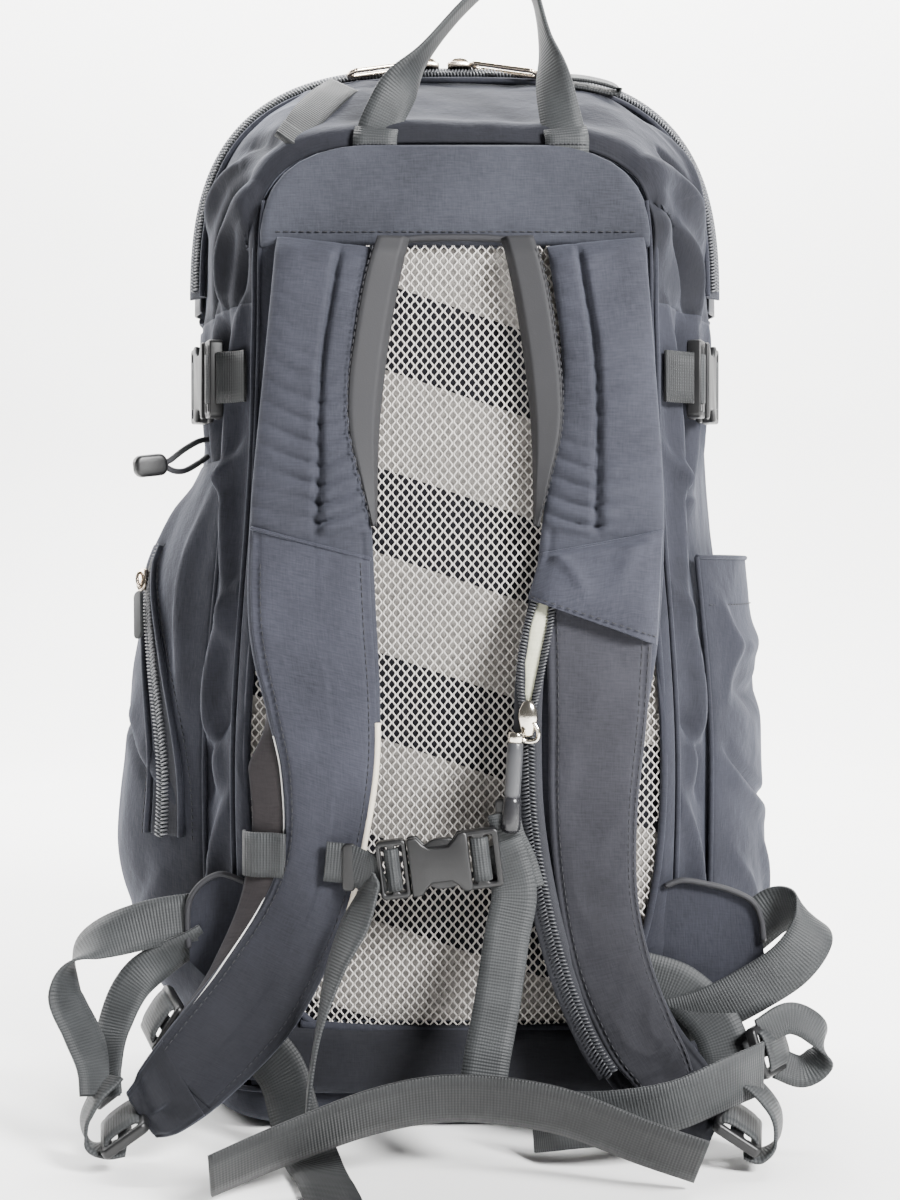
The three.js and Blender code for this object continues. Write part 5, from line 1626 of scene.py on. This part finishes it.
def compression(side, name):
    """A compression strap with its side-release buckle, along one side of the bag."""
    rear = wall(side, -66, CLIP_Z)
    along = unit(wall(side, -30, CLIP_Z) - rear)
    outward = vec(along[1], -along[0], 0) * side
    mouth = rear + outward * 9
    m = frame_matrix(mouth, along, UP * side)
    body = f"compression_plug_{name}"
    housing(f"compression_shell_{name}", m, CLIP_SIZE, "pack", f"compression_housing_{name}")
    plug(body, m, CLIP_SIZE, body, body)
    for arm, half in ((-1, "lower"), (1, "upper")):
        prong(f"{body}_arm_{half}", m, CLIP_SIZE, arm, body)
    lap(f"compression_lap_plug_{name}", m, -9.4, -3.8, 24, 2.8, body)
    lap(f"compression_lap_shell_{name}", m, 23.2, 29.4, 24, 2.8, "pack")
    start = wall(side, -90, CLIP_Z) + outward * 2.6
    end = mouth - along * 13
    lead = [start, start * 0.5 + end * 0.5 - outward * 1.2, end]
    node = f"compression_webbing_{name}"
    rear_strap = strip(f"compression_strap_{name}", lead, [UP, UP], WEB25, node, count=30, finish="dim")
    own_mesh(rear_strap)
    onward = mouth + along * 34
    hold = [
        onward - along * 3 - outward * 1.0, onward + along * 8 - outward * 3.2,
        wall(side, 8, CLIP_Z, 5.2), wall(side, 26, CLIP_Z, 4.6),
    ]
    strip(f"compression_anchor_{name}", hold, [UP, UP], WEB25, count=34)


# ---------------------------------------------------------------- lower corners
# Each wing's outline: its top edge from its root to its tip, then its lower edge back again.
WINGS = {
    "left": ((-99, 122), (-114, 126), (-127, 113), (-127, 84), (-112, 70), (-99, 64)),
    "right": ((99, 120), (112, 123), (142, 113), (148, 88), (128, 64), (100, 56)),
}


def wings():
    t = np.linspace(0, 1, 40)
    for name, outline in WINGS.items():
        upper = catmull(outline[:4], t)
        lower = catmull([outline[k] for k in (5, 5, 4, 3)], t)
        flat = mix(upper[:, None], lower[:, None], np.linspace(0, 1, 30)[None, :, None])
        grid = np.zeros((40, 30, 3))
        grid[..., 0] = flat[..., 0]
        grid[..., 2] = flat[..., 1]
        grid[..., 1] = -99.0 - 1.4 * grain(grid, (34, 1, 34), 4.4) - 1.5 * t[:, None] ** 2
        cloth(f"wing_cloth_{name}", grid, CLOTH_T, f"wing_{name}", inside=vec(0, 40, 90))
        edge = [(x, -101.6, z) for x, z in upper[1:-1:5]]
        piped(f"wing_binding_{name}", edge, 1.5, finish="thread", count=40)


# Each ladder lock: its place, the way its webbing runs and the way its bars run.
LOCKS = {
    "strap_lock_left": ((-150.5, -141, 18.5), (-0.8, -0.1, -0.55), (0.35, -0.9, 0)),
    "strap_lock_right": ((129, -137, 17.5), (0.8, -0.1, -0.5), (0.35, 0.9, 0)),
    "belt_lock_left": ((-138, -112, 60), (-0.5, -0.1, -0.8), (0.4, -0.9, 0)),
    "belt_lock_right": ((148, -112, 46), (0.25, -0.2, -0.9), (0.5, 0.85, 0)),
}


def ladder_locks():
    for name, (at, along, across) in LOCKS.items():
        m = frame_matrix(vec(*at), vec(*along), vec(*across))
        outline = [rounded(24, 34, 3, steps=5)]
        for x in (-5.5, 5.5):
            outline.append(rounded(5.4, 26.5, 1.0, x, steps=2)[::-1])
        moulding(f"{name}_frame", outline, 5, 1.4, m, name, name)
        lap(f"{name}_lap", m, -8.8, 8.8, 25, 3.0, name)
        for y in (-9, 0, 9):
            grip = local(m, [(-2.4, y, 2.2), (2.4, y, 2.2)])
            put(tube(f"{name}_grip_{y + 9}", grip, 0.7, look["plastic"], 6, 6), name, "plastic")


LEFT_ADJUST = [
    (-116, -97, 106), (-148, -103, 102), (-176, -110, 92), (-183, -116, 74), (-174, -122, 56),
    (-166, -128, 42), (-163, -134, 30),
]
RIGHT_ADJUST = [
    (140, -93, 96), (156, -93, 108), (167, -101, 109), (168.5, -111, 101), (158, -115, 87), (140, -113, 74),
    (118, -110, 62), (98, -106.5, 56),
]
LEFT_BELT = [
    (-118, -112.5, 66), (-98, -113, 52), (-82, -116, 36), (-73, -128, 14), (-64, -146, 3), (-56, -172, 1.6),
    (-50, -198, 1.6),
]
RIGHT_BELT = [
    (141, -134, 43), (122, -148, 40), (98, -154, 32), (70, -152, 26), (48, -144, 22), (36, -130, 16),
]
BAND = [
    (-104, -195, 15), (-74, -182, 24), (-34, -170, 35), (2, -166, 39), (44, -170, 35), (82, -177, 23),
    (106, -181, 16),
]
RETURN_LEFT = [(-120, -97, 96), (-150, -104, 78), (-161, -113, 56), (-162, -123, 38), (-159, -132, 27)]
WRAP_LEFT = [
    (-157, -131, 38), (-164, -137, 31), (-168.5, -141, 21), (-166, -144, 12), (-158, -145, 9),
    (-149, -144, 10),
]
WRAP_RIGHT = [
    (126, -130, 40), (137, -134, 35), (146, -139, 24), (146, -141, 12), (139, -142, 6), (131, -141, 8),
]
BELT_TAIL = [
    (142, -117, 54), (158, -112, 60), (172, -108, 52), (174, -106, 40), (165, -106, 33), (152, -109, 38),
]
HIP_RIGHT = [(84, -108, 80), (106, -108, 73), (121, -111, 59), (127, -117, 45), (126, -125, 34)]
RIGHT_BELT_LEAN = [(0.2, 0, 1), (0, -0.3, 1), (0, 0.3, 1)]
LEFT_LEAN = [UP, (0, 0.4, 1), (0.2, 1, 0.5), (0.6, 1, 0), (0.7, 1, 0)]
# The long strips: each one's name, route, cross directions, width, finish and CAD node.
STRIPS = (
    ("adjuster_left", LEFT_ADJUST, LEFT_LEAN, 23, "webbing", "strap_webbing_left"),
    ("adjuster_right", RIGHT_ADJUST, [(-0.7, 0, 0.7)] * 2, 23, "webbing", "strap_webbing_right"),
    ("belt_left", LEFT_BELT, [UP, (0.8, 0, 1), (1, 0, 0), (1, 0, 0)], WEB25, "dim", "belt_webbing_left"),
    ("belt_right", RIGHT_BELT, RIGHT_BELT_LEAN, WEB25 + 1, "webbing", "belt_webbing_right"),
    ("belt_strip", BAND, [(0, -0.9, 1), (0, -0.7, 1), (0, -0.7, 0.9)], 32, "dim", "belt_band"),
)
# The short strips: each one's name, route, cross directions, width and body.
SHORT_STRIPS = (
    ("return_left", RETURN_LEFT, [(0.7, 0.5, 0), (0.6, -0.6, 0.2)], 18, "pack"),
    ("wrap_left", WRAP_LEFT, [(0.3, -0.9, 0)] * 2, 21, "strap_lock_left"),
    ("wrap_right", WRAP_RIGHT, [(0.3, 0.9, 0)] * 2, 21, "strap_lock_right"),
    ("belt_tail_right", BELT_TAIL, [(0, -0.2, 1), (0, 0.3, 1), (0, 0.3, 1)], 15, "belt_lock_right"),
    ("hip_right", HIP_RIGHT, [(0.4, 0, 1), (1, 0, 0.6), (1, 0, 0.2)], 24, "pack"),
)


def lower_webbing():
    for name, points, lean, width, finish, node in STRIPS:
        strip(name, points, lean, width, node, count=110, finish=finish)
    for name, points, lean, width, body in SHORT_STRIPS:
        strip(name, points, lean, width, body=body)


# ---------------------------------------------------------------- elastic cord
CORD_D = 3.0
CORD_MIDDLE = (
    (-131, -44, 337), (-137, -53, 332), (-142, -58.5, 327), (-145, -61, 324.5), (-142, -58.5, 321.5),
    (-137, -52, 321.5), (-131, -43, 326),
)


def elastic():
    """A loop of braided elastic through a toggle, both ends sewn into the left side."""
    points = [wall(-1, -34, 339, 2.6), *CORD_MIDDLE, wall(-1, -34, 330, 2.6)]
    route = along_curve(points, 30)
    curve = bpy.data.curves.new("cord_elastic", "CURVE")
    curve.dimensions = "3D"
    curve.bevel_depth = CORD_D / 2 * MM
    curve.bevel_resolution = 3
    spline = curve.splines.new("POLY")
    spline.points.add(len(route) - 1)
    for point, place in zip(spline.points, route):
        point.co = (*(place * MM), 1)
    obj = bpy.data.objects.new("cord_elastic", curve)
    bpy.context.scene.collection.objects.link(obj)
    curve.materials.append(look["elastic"])
    put(obj, "pack", "elastic", "elastic_cord")
    m = frame_matrix(vec(-151.5, -65.5, 323.4), vec(-0.8, -0.5, -0.12), UP)
    outline = [rounded(17, 11, 4, steps=6)]
    toggle = moulding("toggle_body", outline, 6.4, 2.0, m, "pack", "cord_toggle", steps=4)
    ring = local(m, [(4.2 * math.cos(a), 2.6 * math.sin(a), 3.4) for a in np.linspace(0, 2 * math.pi, 18)])
    piped("toggle_ring", ring, 0.5, finish="plastic", sides=6, count=30, slot="plastic")


# ---------------------------------------------------------------- pieces kept from the frame
FRAME_LOOKS = {"frame_sheet": "sheet", "stay_frame": "alloy", "rear_wall": "cloth"}


def frame_parts():
    for node, finish in FRAME_LOOKS.items():
        materials = bpy.data.objects[node].data.materials
        materials.clear()
        materials.append(look[finish])


# ---------------------------------------------------------------- camera, light and floor
CAMERA_PLACE = (-0.0025, -0.895, 0.27)
CAMERA_TILT = 89.07
LENS_LENGTH = 50
WORLD_STRENGTH = 0.12
# Each light, in metres: its name, place, aim, size and power.
LIGHTS = (
    ("key", (1.05, -1.2, 1.15), (0, 0, 0.27), (0.5, 0.5), 131),
    ("rim", (-1.2, 0.5, 0.9), (0, 0, 0.3), (0.5, 0.9), 26),
    ("wash", (0, 1.0, 2.3), (0, 1.75, 0.4), (3.0, 0.8), 300),
)
# The paper sweep, in metres: its near edge, the foot and radius of its bend, its height and half width.
SWEEP_NEAR, SWEEP_BEND, SWEEP_RADIUS, SWEEP_HIGH, SWEEP_HALF = -2.4, 1.4, 0.5, 3.2, 3.2


def camera():
    data = bpy.data.cameras.new("camera")
    data.lens = LENS_LENGTH
    data.sensor_width = 36
    data.sensor_fit = "AUTO"
    data.clip_start = 0.01
    obj = bpy.data.objects.new("camera", data)
    bpy.context.scene.collection.objects.link(obj)
    obj.location = CAMERA_PLACE
    obj.rotation_euler = (math.radians(CAMERA_TILT), 0, 0)
    bpy.context.scene.camera = obj


def area_light(name, place, aim, size, energy):
    data = bpy.data.lights.new(name, "AREA")
    data.shape = "RECTANGLE"
    data.size, data.size_y = size
    data.energy = energy
    obj = bpy.data.objects.new(name, data)
    bpy.context.scene.collection.objects.link(obj)
    obj.location = place
    obj.rotation_euler = (Vector(aim) - Vector(place)).to_track_quat("-Z", "Y").to_euler()


def studio():
    world = bpy.data.worlds.new("studio")
    world.use_nodes = True
    back = next(n for n in world.node_tree.nodes if n.type == "BACKGROUND")
    back.inputs["Color"].default_value = (1, 1, 1, 1)
    back.inputs["Strength"].default_value = WORLD_STRENGTH
    bpy.context.scene.world = world
    n = Nodes("paper")
    tone = n.noise(n.place(), 3.0, 2.0)
    colour = n.ramp(tone, [(0.3, (0.9, 0.895, 0.88)), (0.7, (0.93, 0.925, 0.915))])
    paper = n.finish(Base_Color=colour, Roughness=0.85, Specular_IOR_Level=0.2)
    bend = [
        (SWEEP_BEND + SWEEP_RADIUS * math.sin(a), SWEEP_RADIUS - SWEEP_RADIUS * math.cos(a))
        for a in np.linspace(0, math.pi / 2, 18)
    ]
    profile = [(SWEEP_NEAR, 0)] + bend + [(SWEEP_BEND + SWEEP_RADIUS, SWEEP_HIGH)]
    sides = (-SWEEP_HALF / MM, SWEEP_HALF / MM)
    grid = np.array([[(x, y * 1000, z * 1000 - 0.3) for y, z in profile] for x in sides], float)
    sheet_mesh("sweep", grid, paper, 0)
    for light in LIGHTS:
        area_light(*light)


# ---------------------------------------------------------------- build
camera()
elastic()
for side, name in SIDES:
    side_panel(side, name)
    side_seam(side, name)
gusset()
front_panel()
opening_front()
base_pan()
rear_seam()
side_pockets()
net()
back_panel()
straps()
sleeve()
haul_loop()
tabs()
main_zip()
sternum()
for side, name in SIDES:
    compression(side, name)
wings()
ladder_locks()
lower_webbing()
frame_parts()
studio()
